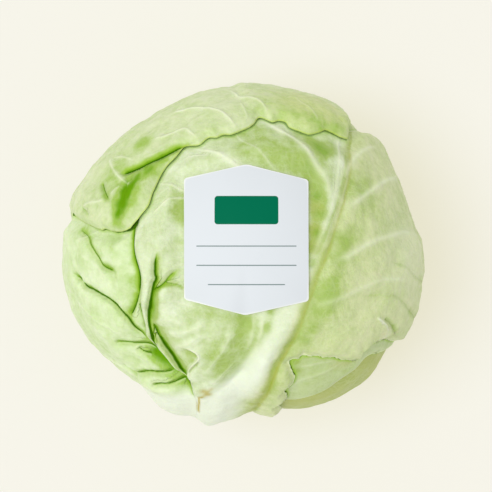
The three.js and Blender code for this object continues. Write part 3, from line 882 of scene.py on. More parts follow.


# %% [markdown]
# ## The leaf's skin
# Cabbage leaf is thin, waxy and slightly see-through. Its green is uneven: paler over the net of veins and
# white at the base and on the thick ribs. Creases, hollows and sides away from the light are painted
# strongly green as painted shade, where light comes through two layers, and crease lips are painted brighter
# as painted highlights. The large veins come from the attributes, and the fine net from Voronoi cell edges.

# %% A helper for nodes
VEIN_COLOUR = (0.84, 0.93, 0.66, 1)
WHITE_COLOUR = (0.84, 0.93, 0.74, 1)
# Colours of painted light and shade: a dark crease line, shaded valleys, shaded greens and a bright lit lip
CREASE_SHADE_COLOUR = (0.045, 0.155, 0.0, 1)
VALLEY_SHADE_COLOUR = (0.14, 0.34, 0.005, 1)
SHADED_SIDE_GREEN = (0.34, 0.58, 0.035, 1)
LIT_LIP_COLOUR = (0.80, 0.95, 0.50, 1)
BROWN_AND_SHADE_COLOUR = (0.50, 0.42, 0.07, 1)
SHEEN_COLOUR = (0.95, 1.0, 0.75, 1)
PALE_RIM = (0.76, 0.88, 0.48, 1)
GREEN_RIM = (0.52, 0.68, 0.11, 1)
TORN_RIM = (0.80, 0.90, 0.56, 1)


class Skin:
    """A small helper round one material's nodes."""

    def __init__(self, name):
        self.material = bpy.data.materials.new(name)
        self.material.use_nodes = True
        self.tree = self.material.node_tree
        self.shader = self.tree.nodes["Principled BSDF"]

    def node(self, kind, **settings):
        node = self.tree.nodes.new(kind)
        for key, value in settings.items():
            if key in node.inputs:
                node.inputs[key].default_value = value
            else:
                setattr(node, key, value)
        return node

    def join(self, source, target):
        self.tree.links.new(source, target)
        return source

    def attribute(self, name):
        return self.node("ShaderNodeAttribute", attribute_name=name).outputs["Fac"]

    def feed(self, value, socket):
        """Link one socket to another, or set it to a fixed number, colour or vector."""
        if isinstance(value, bpy.types.NodeSocket):
            self.join(value, socket)
        else:
            socket.default_value = value

    def math(self, operation, a, b=0.5, c=0.5):
        node = self.node("ShaderNodeMath", operation=operation)
        for socket, value in zip(node.inputs, (a, b, c)):
            self.feed(value, socket)
        return node.outputs[0]

    def times(self, a, b):
        return self.math("MULTIPLY", a, b)

    def plus(self, a, b):
        return self.math("ADD", a, b)

    def minus(self, a, b):
        return self.math("SUBTRACT", a, b)

    def most(self, a, b):
        return self.math("MAXIMUM", a, b)

    def vector(self, operation, a, b=None, **settings):
        node = self.node("ShaderNodeVectorMath", operation=operation, **settings)
        self.feed(a, node.inputs[0])
        if b is not None:
            self.feed(b, node.inputs[1])
        return node.outputs["Value" if operation == "LENGTH" else "Vector"]

    def ramp(self, value, low, high, to_low=0.0, to_high=1.0):
        node = self.node("ShaderNodeMapRange", interpolation_type="SMOOTHSTEP")
        self.join(value, node.inputs["Value"])
        for key, number in (("From Min", low), ("From Max", high), ("To Min", to_low), ("To Max", to_high)):
            node.inputs[key].default_value = number
        return node.outputs["Result"]

    def mix(self, factor, a, b):
        node = self.node("ShaderNodeMix", data_type="RGBA")
        for value, k in ((factor, 0), (a, 6), (b, 7)):
            self.feed(value, node.inputs[k])
        return node.outputs[2]

    def noise(self, coords, scale, detail=3.0, roughness=0.5):
        node = self.node("ShaderNodeTexNoise", Scale=scale, Detail=detail, Roughness=roughness)
        self.join(coords, node.inputs["Vector"])
        return node.outputs["Fac"]

    def warped(self, coords, scale, amount):
        node = self.node("ShaderNodeTexNoise", Scale=scale, Detail=2.0)
        self.join(coords, node.inputs["Vector"])
        centred = self.vector("SUBTRACT", node.outputs["Color"], (0.5, 0.5, 0.5))
        return self.vector("ADD", coords, self.vector("SCALE", centred, Scale=amount))

    def cell_edges(self, coords, scale, width, strength=1.0):
        node = self.node("ShaderNodeTexVoronoi", feature="DISTANCE_TO_EDGE", Scale=scale)
        self.join(coords, node.inputs["Vector"])
        return self.ramp(node.outputs["Distance"], 0.0, width, strength, 0.0)

    def bump(self, height, distance, strength=1.0):
        node = self.node("ShaderNodeBump", Strength=strength, Distance=distance)
        self.join(height, node.inputs["Height"])
        self.join(node.outputs["Normal"], self.shader.inputs["Normal"])


print("node helpers ready")

# %% Veins of the skin
NET_SCALES = (110, 260)


def vein_lines(skin, bent, patches, green):
    """The large veins from the attributes, and a faint net of small ones between them."""
    vein_gap = skin.math("ABSOLUTE", skin.attribute("vein_gap"))
    halo = skin.plus(skin.ramp(vein_gap, 0.0, 1.0, 0.6, 0), skin.ramp(vein_gap, 0.2, 2.2, 0.4, 0))
    veins = skin.times(halo, skin.attribute("vein"))
    coarse = skin.cell_edges(bent, NET_SCALES[0], 0.10, 0.6)
    fine = skin.cell_edges(bent, NET_SCALES[1], 0.16, 0.5)
    net = skin.times(skin.most(coarse, fine), skin.ramp(patches, 0.4, 0.65, 0.04, 0.22))
    return skin.most(veins, skin.times(net, green))


print("the vein net's cells:", [round(1000 / scale, 1) for scale in NET_SCALES], "mm")


# %% Creases and margins of the skin
def crease_shades(skin, lips):
    """A crease's painted shade: its dark crack and the two greens of its shaded side, with its bright lip as
    a painted highlight and its valley as a bump.
    """
    strength = skin.attribute("crease")
    creases = skin.math("MINIMUM", strength, 1.0)
    signed_gap = skin.attribute("crease_gap")
    gap = skin.math("ABSOLUTE", signed_gap)
    own_width = skin.math("MULTIPLY_ADD", strength, 0.9, -0.68)
    # The dark crack is painted shade along the bottom of the crease
    crack_shade = skin.times(skin.ramp(skin.minus(gap, own_width), -0.1, 0.5, 1, 0), skin.ramp(creases, 0.3, 0.7))
    past_crack = skin.minus(signed_gap, skin.most(own_width, 0.0))
    own_dusk = skin.attribute("dusk")
    # Painted shade in two greens on the crease's shaded side
    dusk = skin.times(skin.ramp(past_crack, 0.0, 4.5, 1.0, 0.0), skin.ramp(signed_gap, -0.3, 0.3))
    dusk = skin.times(dusk, skin.times(own_dusk, skin.ramp(creases, 0.0, 0.8)))
    deep_dusk = skin.times(skin.ramp(past_crack, 0.0, 1.8, 0.9, 0.0), skin.ramp(signed_gap, -0.2, 0.2))
    deep_dusk = skin.times(deep_dusk, skin.times(own_dusk, skin.ramp(creases, 0.3, 0.9)))
    # Painted highlight: a bright lip on the crease's lit side
    lit = skin.times(signed_gap, -1.0)
    lip = skin.times(skin.ramp(lit, 0.3, 0.9), skin.ramp(lit, 0.8, 2.2, lips, 0.0))
    lip = skin.times(lip, skin.ramp(creases, 0.2, 0.7))
    valley = skin.times(skin.ramp(gap, 0.0, 2.2, -1.6, 0), creases)
    return {"crack_shade": crack_shade, "valley": valley, "dusk": dusk, "deep_dusk": deep_dusk, "lip": lip}


def margin_shades(skin, mottle, green, contact_shadow, shadow):
    """Painted shadow: the dark line and the soft shade under the margin of a leaf that lies on this one."""
    uneven = skin.plus(skin.attribute("over"), skin.ramp(mottle, 0.3, 0.7, -0.5, 0.3))
    margin_shadow_line = skin.times(skin.ramp(uneven, -0.8, -0.2, 0, contact_shadow), green)
    margin_shade = skin.times(skin.ramp(skin.attribute("over"), -3.0, -0.3, 0, shadow), green)
    return margin_shadow_line, margin_shade


print("shades of creases and margins ready")

# %% Greens, relief and gloss of the skin
BASE_GREEN = 0.2
BUMP_DEPTH = 0.0007


def green_patches(skin, patches, mottle, wrinkles):
    """How green the blade is: from the attribute, which holds painted shade as well as the leaf's own
    greens, and uneven at three scales.
    """
    patchy = skin.plus(skin.attribute("deep"), skin.ramp(patches, 0.3, 0.7, -0.16, 0.2))
    patchy = skin.plus(patchy, skin.ramp(mottle, 0.3, 0.7, -0.1, 0.14))
    patchy = skin.plus(patchy, skin.ramp(wrinkles, 0.35, 0.65, BASE_GREEN - 0.06, BASE_GREEN + 0.06))
    patchy.node.use_clamp = True
    return patchy


def leaf_relief(skin, lines, mottle, wrinkles, grain, valley):
    height = skin.plus(lines, skin.times(mottle, 0.9))
    height = skin.plus(height, skin.times(wrinkles, 0.5))
    height = skin.plus(height, skin.times(grain, 0.12))
    skin.bump(skin.plus(height, valley), BUMP_DEPTH, 0.9)


def leaf_gloss(skin, mottle, dark):
    """A thin wax bloom, which the dark valleys don't have."""
    skin.join(skin.ramp(mottle, 0.3, 0.7, 0.42, 0.56), skin.shader.inputs["Roughness"])
    skin.join(skin.ramp(dark, 0.0, 0.5, 0.28, 0.0), skin.shader.inputs["Specular IOR Level"])
    skin.join(skin.ramp(dark, 0.0, 0.5, 0.08, 0.0), skin.shader.inputs["Sheen Weight"])
    skin.shader.inputs["Sheen Roughness"].default_value = 0.5
    skin.shader.inputs["Sheen Tint"].default_value = SHEEN_COLOUR
    skin.shader.inputs["Subsurface Weight"].default_value = 0.12
    skin.shader.inputs["Subsurface Radius"].default_value = (0.6, 1.0, 0.25)
    skin.shader.inputs["Subsurface Scale"].default_value = 0.003


print("bumps of the skin are up to", BUMP_DEPTH / METRES, "mm deep")


# %% Put a leaf's skin together
def leaf_skin(name, pale, deep, rim=PALE_RIM, contact_shadow=0.7, shadow=0.3, lips=0.6, warm_pale=None):
    skin = Skin(name)
    coords = skin.node("ShaderNodeTexCoord").outputs["Object"]
    bent = skin.warped(coords, 60, 0.006)
    patches = skin.noise(coords, 38, 3, 0.55)
    mottle = skin.noise(coords, 170, 4, 0.6)
    wrinkles = skin.noise(bent, 420, 3, 0.6)
    grain = skin.noise(coords, 900, 2, 0.5)
    white = skin.attribute("white")
    green = skin.minus(1.0, white)
    lines = vein_lines(skin, bent, patches, green)
    creases = crease_shades(skin, lips)
    margin_shadow_line, margin_shade = margin_shades(skin, mottle, green, contact_shadow, shadow)

    # The warm pale is a warmer, darker pale: partly the leaf's own tone and partly painted shade
    warm = skin.mix(skin.attribute("warm"), pale, warm_pale or pale)
    colour = skin.mix(green_patches(skin, patches, mottle, wrinkles), warm, deep)
    colour = skin.mix(lines, colour, VEIN_COLOUR)
    colour = skin.mix(white, colour, WHITE_COLOUR)
    # Real brown spots, and painted olive shade along the midrib's right side and edge
    colour = skin.mix(skin.math("MINIMUM", skin.attribute("dry"), 1.0), colour, BROWN_AND_SHADE_COLOUR)
    # Painted shade: the shaded side of creases and the soft shade near an upper leaf's margin
    colour = skin.mix(skin.most(creases["dusk"], margin_shade), colour, SHADED_SIDE_GREEN)
    # Painted shade: the darkest green of crease sides and deep hollows
    valley_shade_share = skin.most(creases["deep_dusk"], skin.ramp(skin.attribute("deep"), 0.7, 2.8))
    colour = skin.mix(valley_shade_share, colour, VALLEY_SHADE_COLOUR)
    at_rim = skin.ramp(skin.attribute("inset"), 0.2, 1.2, 0.6, 0)
    colour = skin.mix(skin.times(at_rim, green), colour, rim)
    # Painted highlight on the lit lip of creases
    colour = skin.mix(creases["lip"], colour, LIT_LIP_COLOUR)
    # Painted shade: the dark line in creases and under the margin of a leaf lying on this one
    crack_shade = skin.most(creases["crack_shade"], margin_shadow_line)
    colour = skin.mix(crack_shade, colour, CREASE_SHADE_COLOUR)
    skin.join(colour, skin.shader.inputs["Base Color"])
    leaf_relief(skin, lines, mottle, wrinkles, grain, creases["valley"])
    leaf_gloss(skin, mottle, skin.most(crack_shade, valley_shade_share))
    return skin.material


print("leaf skin reads", len(SHARES + DISTANCES), "attributes")

# %% The six leaves' skins
front_skin = leaf_skin(
    "front_leaf_skin", (0.77, 0.88, 0.62, 1), (0.37, 0.52, 0.12, 1), TORN_RIM,
    contact_shadow=0.35, shadow=0.45, lips=0.4, warm_pale=(0.69, 0.77, 0.43, 1),
)
left_skin = leaf_skin(
    "left_leaf_skin", (0.74, 0.88, 0.55, 1), (0.36, 0.56, 0.10, 1), contact_shadow=0.9, shadow=0.6, lips=0.5,
)
top_skin = leaf_skin(
    "top_leaf_skin", (0.70, 0.80, 0.49, 1), (0.34, 0.53, 0.08, 1), GREEN_RIM,
    lips=0.2, warm_pale=(0.67, 0.74, 0.34, 1),
)
right_skin = leaf_skin("right_leaf_skin", (0.56, 0.68, 0.35, 1), (0.37, 0.50, 0.12, 1), shadow=0.9)
back_skin = leaf_skin(
    "back_leaf_skin", (0.66, 0.74, 0.42, 1), (0.36, 0.50, 0.12, 1), contact_shadow=1.0, shadow=0.6,
)
under_skin = leaf_skin(
    "under_leaf_skin", (0.64, 0.74, 0.38, 1), (0.38, 0.48, 0.12, 1),
    contact_shadow=0.5, shadow=0.5, warm_pale=(0.45, 0.52, 0.12, 1),
)
print("skins ready")

# %% [markdown]
# ## The front leaf
# This is the leaf that the picture shows most of. A thick white midrib runs from the stem at the lower
# left to the upper right, with side veins that fork off it. Its left part is puffed between deep creases,
# and a small flap folds over near the base.

# %% Start the front leaf
FRONT_ACROSS = [(0, 0), (0.42, 0.36), (0.85, 0.74), (1, 1)]
FRONT_ALONG = [(0, 0), (0.5, 0.46), (1, 1)]
FRONT_PUFF = 3.6
front = start_leaf("leaf_front", 200, 225, FRONT_ACROSS, FRONT_ALONG, puff=FRONT_PUFF)

# %% Its midrib
MIDRIB_LEFT = [
    beside_stem(-12), (212, 402), (228, 388), (243, 372), (252, 357), (262, 341), (271, 328), (280, 310),
    (298, 280), (316, 250), (325, 222), (330, 200), (335, 178), (338, 141), (338, 120),
]
MIDRIB_RIGHT = [
    beside_stem(35), (249, 418), (259, 407), (266, 397), (273, 383), (280, 369), (288, 355), (295, 342),
    (302, 328), (309, 313), (316, 297), (324, 276), (334, 250), (341, 226), (349, 199), (354, 178),
    (357, 150), (357, 120),
]
RIB_RISE = 1.3
RIB_BASE_RISE = 3.6
RIB_EDGE_WIDTH = 0.7
from_left, from_right = between(front, MIDRIB_LEFT, MIDRIB_RIGHT)
across_rib = np.clip(from_left / np.maximum(from_left + from_right, 0.1), 0, 1)
across_rib *= (from_left > 0) & (from_right > 0)
left_of_edge = smoothstep(from_right, -0.6, 1.4)
near_base = smoothstep(front["d"] @ STEM, 0.45, 0.8)
midrib = smoothstep(from_left, -1.5 - 4 * near_base, 3.5 + 5 * near_base) * left_of_edge
lower = smoothstep(front["d"] @ STEM, -0.4, 0.45)
# Painted light on the midrib: its right third is painted shaded and olive, a pale band along it is a painted
# highlight, and a painted shadow line runs along its right edge
rib_shade = 1 - (0.55 + 0.4 * lower) * smoothstep(across_rib, 0.4, 0.9)
rib_highlight = np.sin(np.pi * across_rib ** 0.8) ** 0.7
rib_height = (RIB_RISE + RIB_BASE_RISE * lower) * smoothstep(front["inset"], 0, 18)
front["rise"] += np.sin(np.pi * across_rib ** 0.85) * rib_height
front["puff"] *= 1 - 0.35 * midrib
front["white"] = midrib * lower * rib_shade * 0.85 + 0.12 * rib_highlight * (1 - lower)
rib_edge_shadow = 1.3 * np.exp(-((from_right / RIB_EDGE_WIDTH) ** 2)) * (0.5 + 0.5 * lower)
front["deep"] += 0.55 * rib_edge_shadow + 0.35 * smoothstep(across_rib, 0.5, 0.95) * left_of_edge
front["dry"] += 0.35 * rib_edge_shadow + 0.17 * smoothstep(across_rib, 0.45, 0.95) * left_of_edge
print("midrib covers", round(100 * midrib.mean()), "% of the leaf's points")

# %% Its white base
WHITE_LIMIT = [
    (120, 380), (142, 388), (165, 393), (185, 396), (200, 397), (214, 388), (228, 378), (242, 366),
    (256, 350),
]
WHITE_BLUR = 5.0
WHITE_END = 0.2


def white_below(leaf):
    """The leaf's white base, on the stem's side of one line over both the left and the front leaf."""
    return below_line(leaf, WHITE_LIMIT, WHITE_BLUR) * (leaf["d"] @ STEM > WHITE_END)


white_base = white_below(front) * left_of_edge * rib_shade
front["white"] = np.maximum(front["white"], white_base)
# Right of the midrib the blade takes its warm pale, partly its own tone and partly painted shade on the side
# away from the sun
front["warm"] = 1 - smoothstep(from_right, -2.0, 9.0)
# A painted highlight lightens the right edge, which the sun from the left leaves darker
spots(front, "white", (412, 262, 24, 0.28))
spots(front, "dry", (412, 285, 20, 0.06))
# Painted olive shade on the strip left of the midrib
spots(front, "dry", (319, 205, 4.5, 0.25), (317, 226, 4.5, 0.25), (316, 246, 4.5, 0.25))
fatten_base(front, 5.2, white_base)
front["puff"] *= 1 - 0.25 * np.exp(-((from_right / 2.5) ** 2))
print("white base covers", round(100 * white_base.mean()), "% of the leaf's points")

# %% Lines, and soft streaks of painted shade along the midrib
for line in (
    ([(302, 292), (319, 250), (330, 217), (336, 195), (340, 172), (342, 150), (342, 125), (341, 110)],
     (1.9, 1.6), (0.0, 0.0), (0.1, 0.8)),
    ([(325, 255), (333, 238), (341, 212), (347, 188), (352, 168), (357, 155)], (1.5, 1.2), (0.3, 0.3),
     (0.25, 0.4)),
):
    vein(front, *line)
# These streaks are painted shade: deeper green and olive on the rib's shaded right side and flank, and less
# white there
for line in (
    ("deep", [(322, 250), (332, 222), (341, 195), (347, 168), (348, 145)], 1.1, 0.6),
    ("deep", [(300, 354), (311, 331), (324, 303), (335, 276), (342, 250), (352, 220)], 5.5, 0.5),
    ("deep", [(218, 386), (238, 372), (249, 355), (258, 338), (268, 322)], 2.5, 0.35),
    ("deep", [(240, 414), (249, 403), (259, 391)], 5.0, 0.3),
    ("dry", [(240, 416), (252, 404), (262, 391), (276, 370)], 4.0, 0.08),
    ("deep", [(264, 403), (276, 384), (290, 360), (304, 334), (316, 306), (328, 278)], 4.5, 0.3),
    ("white", [(243, 414), (254, 402), (270, 380), (284, 356), (296, 334)], 4.0, -0.25),
    ("white", [(232, 407), (246, 390), (258, 372)], 4.0, -0.15),
):
    streak(front, *line)
print("midrib streaked")

# %% Its veins
for line in (
    ([(332, 208), (331, 192), (327, 176), (315, 158), (304, 141), (293, 131), (281, 124), (270, 114),
     (258, 104)], (2.8, 3.6), (0.35, 0.3), (0.35, 1.3)),
    ([(262, 178), (242.5, 163), (226.4, 154.8), (213.9, 148.6), (205, 145), (192, 143)], (2.2, 1.6),
     (0.9, 0.6), (1.0, 0.8)),
    ([(235, 160), (215, 152), (205, 150.5), (195, 150.8), (185, 152.5), (178, 156)], (1.2, 0.8), (0.4, 0.2),
     (0.6, 0.5)),
    ([(150, 178), (160, 180), (170, 182), (184, 189)], (1.1, 1.1), (0.4, 0.4), (0.6, 0.6)),
    ([(150, 213), (153, 209), (160, 203), (168, 197), (175, 195), (186, 194)], (1.1, 1.0), (0.4, 0.4),
     (0.6, 0.5)),
    ([(232, 118), (240, 133), (262, 150), (280, 168)], (0.9, 0.9), (0.3, 0.2), (0.35, 0.35)),
    ([(240, 372), (250, 358), (257, 345), (263, 325), (265, 312)], (2.4, 1.6), (0.5, 0.4), (0.4, 0.45)),
    ([(246, 352), (251, 340), (254, 325), (253, 314)], (1.8, 1.2), (0.3, 0.2), (0.3, 0.2)),
    ([(345.5, 180), (349, 169), (353.6, 160.4), (360.7, 151.4), (368, 147), (378, 146)], (2.8, 1.8),
     (0.5, 0.25), (0.6, 0.55)),
    ([(345, 211), (358, 200.5), (371.4, 190.7), (384.8, 181), (393, 178), (402, 178)], (2.8, 1.8),
     (0.5, 0.25), (0.55, 0.75)),
    ([(334, 262), (343, 258), (349, 256), (360, 249), (376, 240), (390, 236), (405, 232), (416, 233)],
     (2.8, 1.8), (0.5, 0.25), (0.5, 0.6)),
    ([(312, 311), (324, 303.6), (344.6, 294.6), (362.5, 286.6), (380, 280), (398, 278.6), (407, 279.5)],
     (2.8, 1.6), (0.5, 0.25), (0.25, 0.5)),
):
    vein(front, *line)
print("veins drawn")

# %% Its deep creases at the left
for line in (
    ([(162, 250), (157.5, 259), (156.5, 266), (156, 273), (157.5, 278), (155, 282), (154, 288), (153, 297),
     (152, 304), (150, 310), (150, 318), (151, 326), (153, 334), (153, 341), (156, 347), (158, 350)],
     (7.5, 3.5), (0.8, 1.0), (1.0, 1.9), (1.4, 0.2)),
    ([(154, 318), (157, 326), (160, 333), (165, 342), (170, 350), (175, 358), (180, 366), (184, 372),
     (187, 377)], (10.0, 3.0), (0.7, 1.0), (1.0, 1.4), (1.8, 0.1)),
    ([(154, 288), (160, 286), (166, 281), (170, 275), (176, 270)], (3.0, 4.0), (0.8, 0.6), (0.95, 0.6),
     (0.1, 0.6)),
    ([(165, 281), (172, 283), (178, 285), (184, 289)], (3.0, 4.0), (0.7, 0.5), (0.75, 0.5), (0.0, 0.15)),
):
    crease(front, *line)
ridge(front, [(198, 399), (190, 388), (188, 384), (187.5, 377), (189, 370), (192, 365), (196, 361),
      (200, 356), (199, 352), (194, 348.5), (188, 345.5), (182, 343)], (1.8, 8.0), (2.0, 1.4), 1.3)
crease(front, [(201, 354), (200.5, 358), (196, 363), (192, 367), (189, 371), (187, 377), (187.5, 384)],
       (1.5, 4.0), (0.25, 0.25), (0.35, 0.4), (0.0, 0.5))
spots(front, "dry", (204, 390, 1.8, 0.8), (209, 394, 1.6, 0.8), (201, 396, 1.4, 0.7))
for line in (
    ("dry", [(214, 386), (206, 393), (199, 399)], 1.1, 0.5),
    ("dry", [(198, 394), (198.5, 402), (198, 409), (198, 415)], 0.55, 1.3),
):
    streak(front, *line)
for line, height in (
    ([(161, 317), (172, 318), (184, 321)], 0.7), ([(164, 300), (176, 303), (190, 309)], 0.7),
    ([(168, 330), (182, 331), (196, 327), (205, 320)], 0.8), ([(176, 345), (190, 341), (204, 333)], 0.7),
    ([(205, 372), (215, 360), (226, 345), (232, 330)], 0.8), ([(210, 384), (222, 374), (234, 362)], 0.7),
    ([(165, 262), (172, 258), (180, 256)], 0.8), ([(163, 275), (172, 266), (181, 264)], 0.6),
):
    ridge(front, line, (3.5, 3.5), (height, height), 0.25)
# Painted shade: deeper green in the hollows beside the left creases
spots(front, "deep", (163, 253, 4.0, 0.5), (184, 372, 4.0, 0.2))
for line in (
    ("deep", [(158, 290), (155, 306), (155, 322)], 3.0, 0.8),
    ("deep", [(158, 336), (166, 350), (175, 364), (184, 376)], 3.0, 0.7),
):
    streak(front, *line)
print("left creases folded")

# %% Its folds and small tear at the right
for line in (
    ([(388, 259), (392, 261.6), (402.7, 266), (410.7, 275.9), (416, 285.7), (418.8, 294.6)], (7.0, 3.0),
     (0.2, 0.4), (0.3, 0.5), (0.1, 0.25)),
    ([(356, 296), (366, 293), (377.7, 293), (390, 293.8), (398, 301), (403.6, 310), (405.4, 317)],
     (6.0, 3.5), (0.15, 0.4), (0.2, 0.5), (0.1, 0.3)),
    ([(376, 315), (381, 318), (386, 323), (389, 330)], (3.0, 2.0), (0.5, 0.4), (0.5, 0.4), (0.2, 0.1)),
):
    crease(front, *line)
ridge(front, [(372, 315), (377, 318), (382, 323), (385, 330)], (1.2, 3.0), (0.6, 0.5), 1.2)
vein(front, [(375, 321), (379, 320), (383, 324)], (0.7, 0.7), (0.3, 0.3), (1.2, 1.2))
spots(front, "deep", (391, 325, 4.0, 0.4))
spots(front, "puff", (404, 333, 9.0, -1.6))
spots(front, "dry", (380, 333, 3.5, 0.25))
spots(front, "white", (381, 334, 4.0, 0.35))
print("right folds made")

# %% Its bulges, and its patches of deeper and paler green, mostly painted shade and light
spots(
    front, "rise",
    (150, 240, 9, 1.2), (172, 225, 12, 1.4), (146, 272, 6, 0.9), (147, 300, 5, 1.0), (172, 300, 9, 1.6),
    (176, 255, 8, 1.4), (190, 325, 13, 1.6), (215, 335, 12, 1.2), (218, 362, 11, 1.6),
    (165, 322, 5, 0.8), (178, 345, 6, 0.9), (365, 330, 14, 0.8), (340, 330, 14, 0.8),
    (390, 210, 12, 0.8), (380, 262, 10, 0.8),
)
# Deeper green patches are mostly painted shade in hollows, beside the midrib and under the top leaf's
# margin; the paler ones with negative amounts are painted light
spots(
    front, "deep",
    (321, 195, 4.5, 1.4), (322, 212, 4.5, 1.5), (319, 230, 4.5, 1.5), (317, 248, 4, 1.3),
    (315, 263, 3, 1.0), (315, 178, 6, 0.7), (300, 162, 10, 0.4), (270, 145, 16, 0.4), (324, 152, 6, 0.5),
    (328, 180, 4, 0.4), (412, 270, 10, -0.3), (408, 240, 8, -0.3), (195, 352, 9, 0.3),
    (300, 135, 6, 0.4), (318, 141, 6, 0.5), (264, 126, 8, 0.3), (400, 300, 14, -0.3), (290, 340, 5, 0.3),
    (240, 138, 14, 0.3), (334, 145, 5, 0.4), (345, 150, 5, 0.3), (312, 135, 5, 0.3), (292, 150, 10, 0.2),
    (216, 350, 7, 0.4), (222, 368, 7, 0.5), (230, 356, 6, 0.3), (180, 206, 6, 0.6), (178, 222, 6, 0.4),
    (272, 314, 2.5, 0.9), (268, 328, 2.5, 0.8), (238, 338, 7, 0.5), (245, 325, 6, 0.4),
    (190, 325, 9, 0.3), (265, 158, 8, 0.3), (215, 158, 8, 0.2), (326, 140, 6, 0.5), (172, 245, 6, 0.2),
    (335, 130, 8, 0.3), (325, 150, 5, 0.3), (358, 186, 8, 0.35), (350, 238, 8, 0.3), (328, 290, 7, 0.35),
    (375, 215, 14, 0.1), (150, 255, 12, -0.35), (150, 230, 10, -0.4), (160, 215, 10, -0.3),
    (340, 330, 16, -0.3), (390, 322, 9, -0.3), (372, 345, 8, 0.2), (180, 300, 10, -0.25),
    (385, 290, 14, -0.2), (235, 366, 7, 0.35), (245, 350, 6, 0.35), (222, 376, 6, 0.3),
    (318, 170, 6, 0.35), (330, 150, 5, 0.3), (362, 175, 9, 0.3), (355, 240, 10, 0.2),
    (372, 200, 10, 0.2), (330, 300, 8, 0.3), (350, 355, 8, 0.2), (340, 295, 12, 0.15),
    (400, 260, 8, 0.1), (340, 145, 5, 0.2), (165, 160, 6, -0.2), (265, 385, 6, 0.3), (178, 195, 5, 0.5),
    (176, 212, 6, 0.5), (176, 240, 5, 0.3), (250, 325, 4, 0.5), (240, 318, 5, 0.3), (205, 312, 8, 0.3),
    (215, 318, 8, 0.2), (198, 340, 8, -0.25), (310, 160, 5, 0.5), (320, 140, 5, 0.3), (300, 128, 6, 0.2),
    (205, 158, 7, 0.1),
)
print("most green spots:", round(float(front["deep"].max()), 2))

# %% Make it uneven and finish it
SHOULDER = (352, 120, 9.0, 2.6)
spots(front, "flesh", SHOULDER)
crumple(front, 26, 0.7, 1)
crumple(front, 9, 0.3, 11)
quilt(front, 11, 0.4, 1)
green_hollows(front, 0.4)
hug(front, 0.8)
front["curl"] -= 0.4 * front["white"] * np.exp(-np.maximum(front["inset"], 0) / 4)
vary(front, "deep", 7, 0.3, 1)
finish_leaf(front, "front_wrapper", front_skin)

# %% [markdown]
# ## The left leaf
# The crumpled leaf at the left runs under the front one. Long creases run down it towards the base, and
# between them the blade is puffed up. Its base is white.

# %% Start the left leaf and crease it
left = start_leaf("leaf_left", 180, 200, puff=4.4)
left["white"] = white_below(left)
for line in (
    ([(78, 226), (79, 228), (81, 231), (88, 236.5), (91, 242), (94, 248), (97, 253), (101, 260), (104, 265),
     (110, 268.5), (116, 271), (118, 275)], (7.0, 6.0), (0.5, 0.7), (0.6, 0.9), (0.35, 0.1)),
    ([(75.5, 271), (79, 277), (82.5, 281), (84, 285), (93, 289.5), (104, 295.5), (111, 299.5), (119, 308.5),
     (127.5, 318.5), (135, 329), (140.5, 334), (145, 340), (148, 342)], (7.0, 5.0), (0.9, 0.95), (1.0, 1.1),
     (0.35, 0.0)),
    ([(137, 292), (136, 297), (134.5, 303), (132.5, 309), (129.5, 315.5)], (4.0, 6.0), (0.6, 0.9),
     (0.9, 1.0), (0.1, 0.5)),
    ([(118, 338), (122, 340), (128, 341.5), (138, 343), (148, 345), (152, 347), (156, 350)], (5.0, 5.0),
     (0.6, 0.9), (0.7, 1.0), (0.3, 0.0)),
    ([(138, 346), (144, 351), (152, 354)], (4.0, 4.0), (0.6, 0.8), (0.8, 0.9), (0.3, 0.1)),
    ([(126, 360), (128, 362), (135, 367), (143, 369), (150, 370), (160, 372), (168, 372.5), (174, 370)],
     (5.0, 5.0), (0.5, 0.9), (0.75, 0.9), (0.35, 0.0)),
    ([(155, 379), (157, 380), (163, 381), (170, 382), (180, 380.5), (187, 378)], (4.0, 4.0), (0.5, 0.8),
     (0.8, 0.95), (0.2, 0.0)),
    ([(138, 217), (133.5, 224), (132, 233), (132, 245), (132.5, 253), (134.5, 262), (137, 270), (138, 280),
     (137.5, 290), (136.5, 297)], (2.0, 4.5), (0.5, 0.7), (0.8, 1.2), (0.1, 0.8)),
    ([(187, 379), (188.5, 384), (192, 390), (196, 396)], (2.0, 3.0), (0.3, 0.3), (0.9, 0.7), (0.0, 0.7)),
    ([(137, 300), (138.5, 309), (141, 317), (143, 323), (142.5, 330)], (3.0, 3.0), (0.5, 0.5), (0.8, 0.8),
     (0.0, 0.1)),
):
    crease(left, *line)
print("creased share of the left leaf:", round(float((left["crease"] > 0).mean()), 2))

# %% Its base, bulges, greens and veins
streak(left, "dry", [(197, 394), (197, 402), (196.5, 409), (197, 415)], 0.55, 1.0)
fatten_base(left, 7.6, left["white"])
left["flesh"] += 0.7 * left["white"] * np.exp(-((left["over"] / 2.5) ** 2))
spots(
    left, "rise",
    (95, 215, 6, 1.0), (122, 250, 9, 1.4), (84, 255, 7, 1.2), (105, 285, 8, 1.2), (95, 320, 12, 1.4),
    (120, 325, 6, 1.2), (118, 352, 8, 1.0), (148, 361, 5, 0.8), (155, 388, 8, 0.6), (70, 245, 7, 1.0),
)
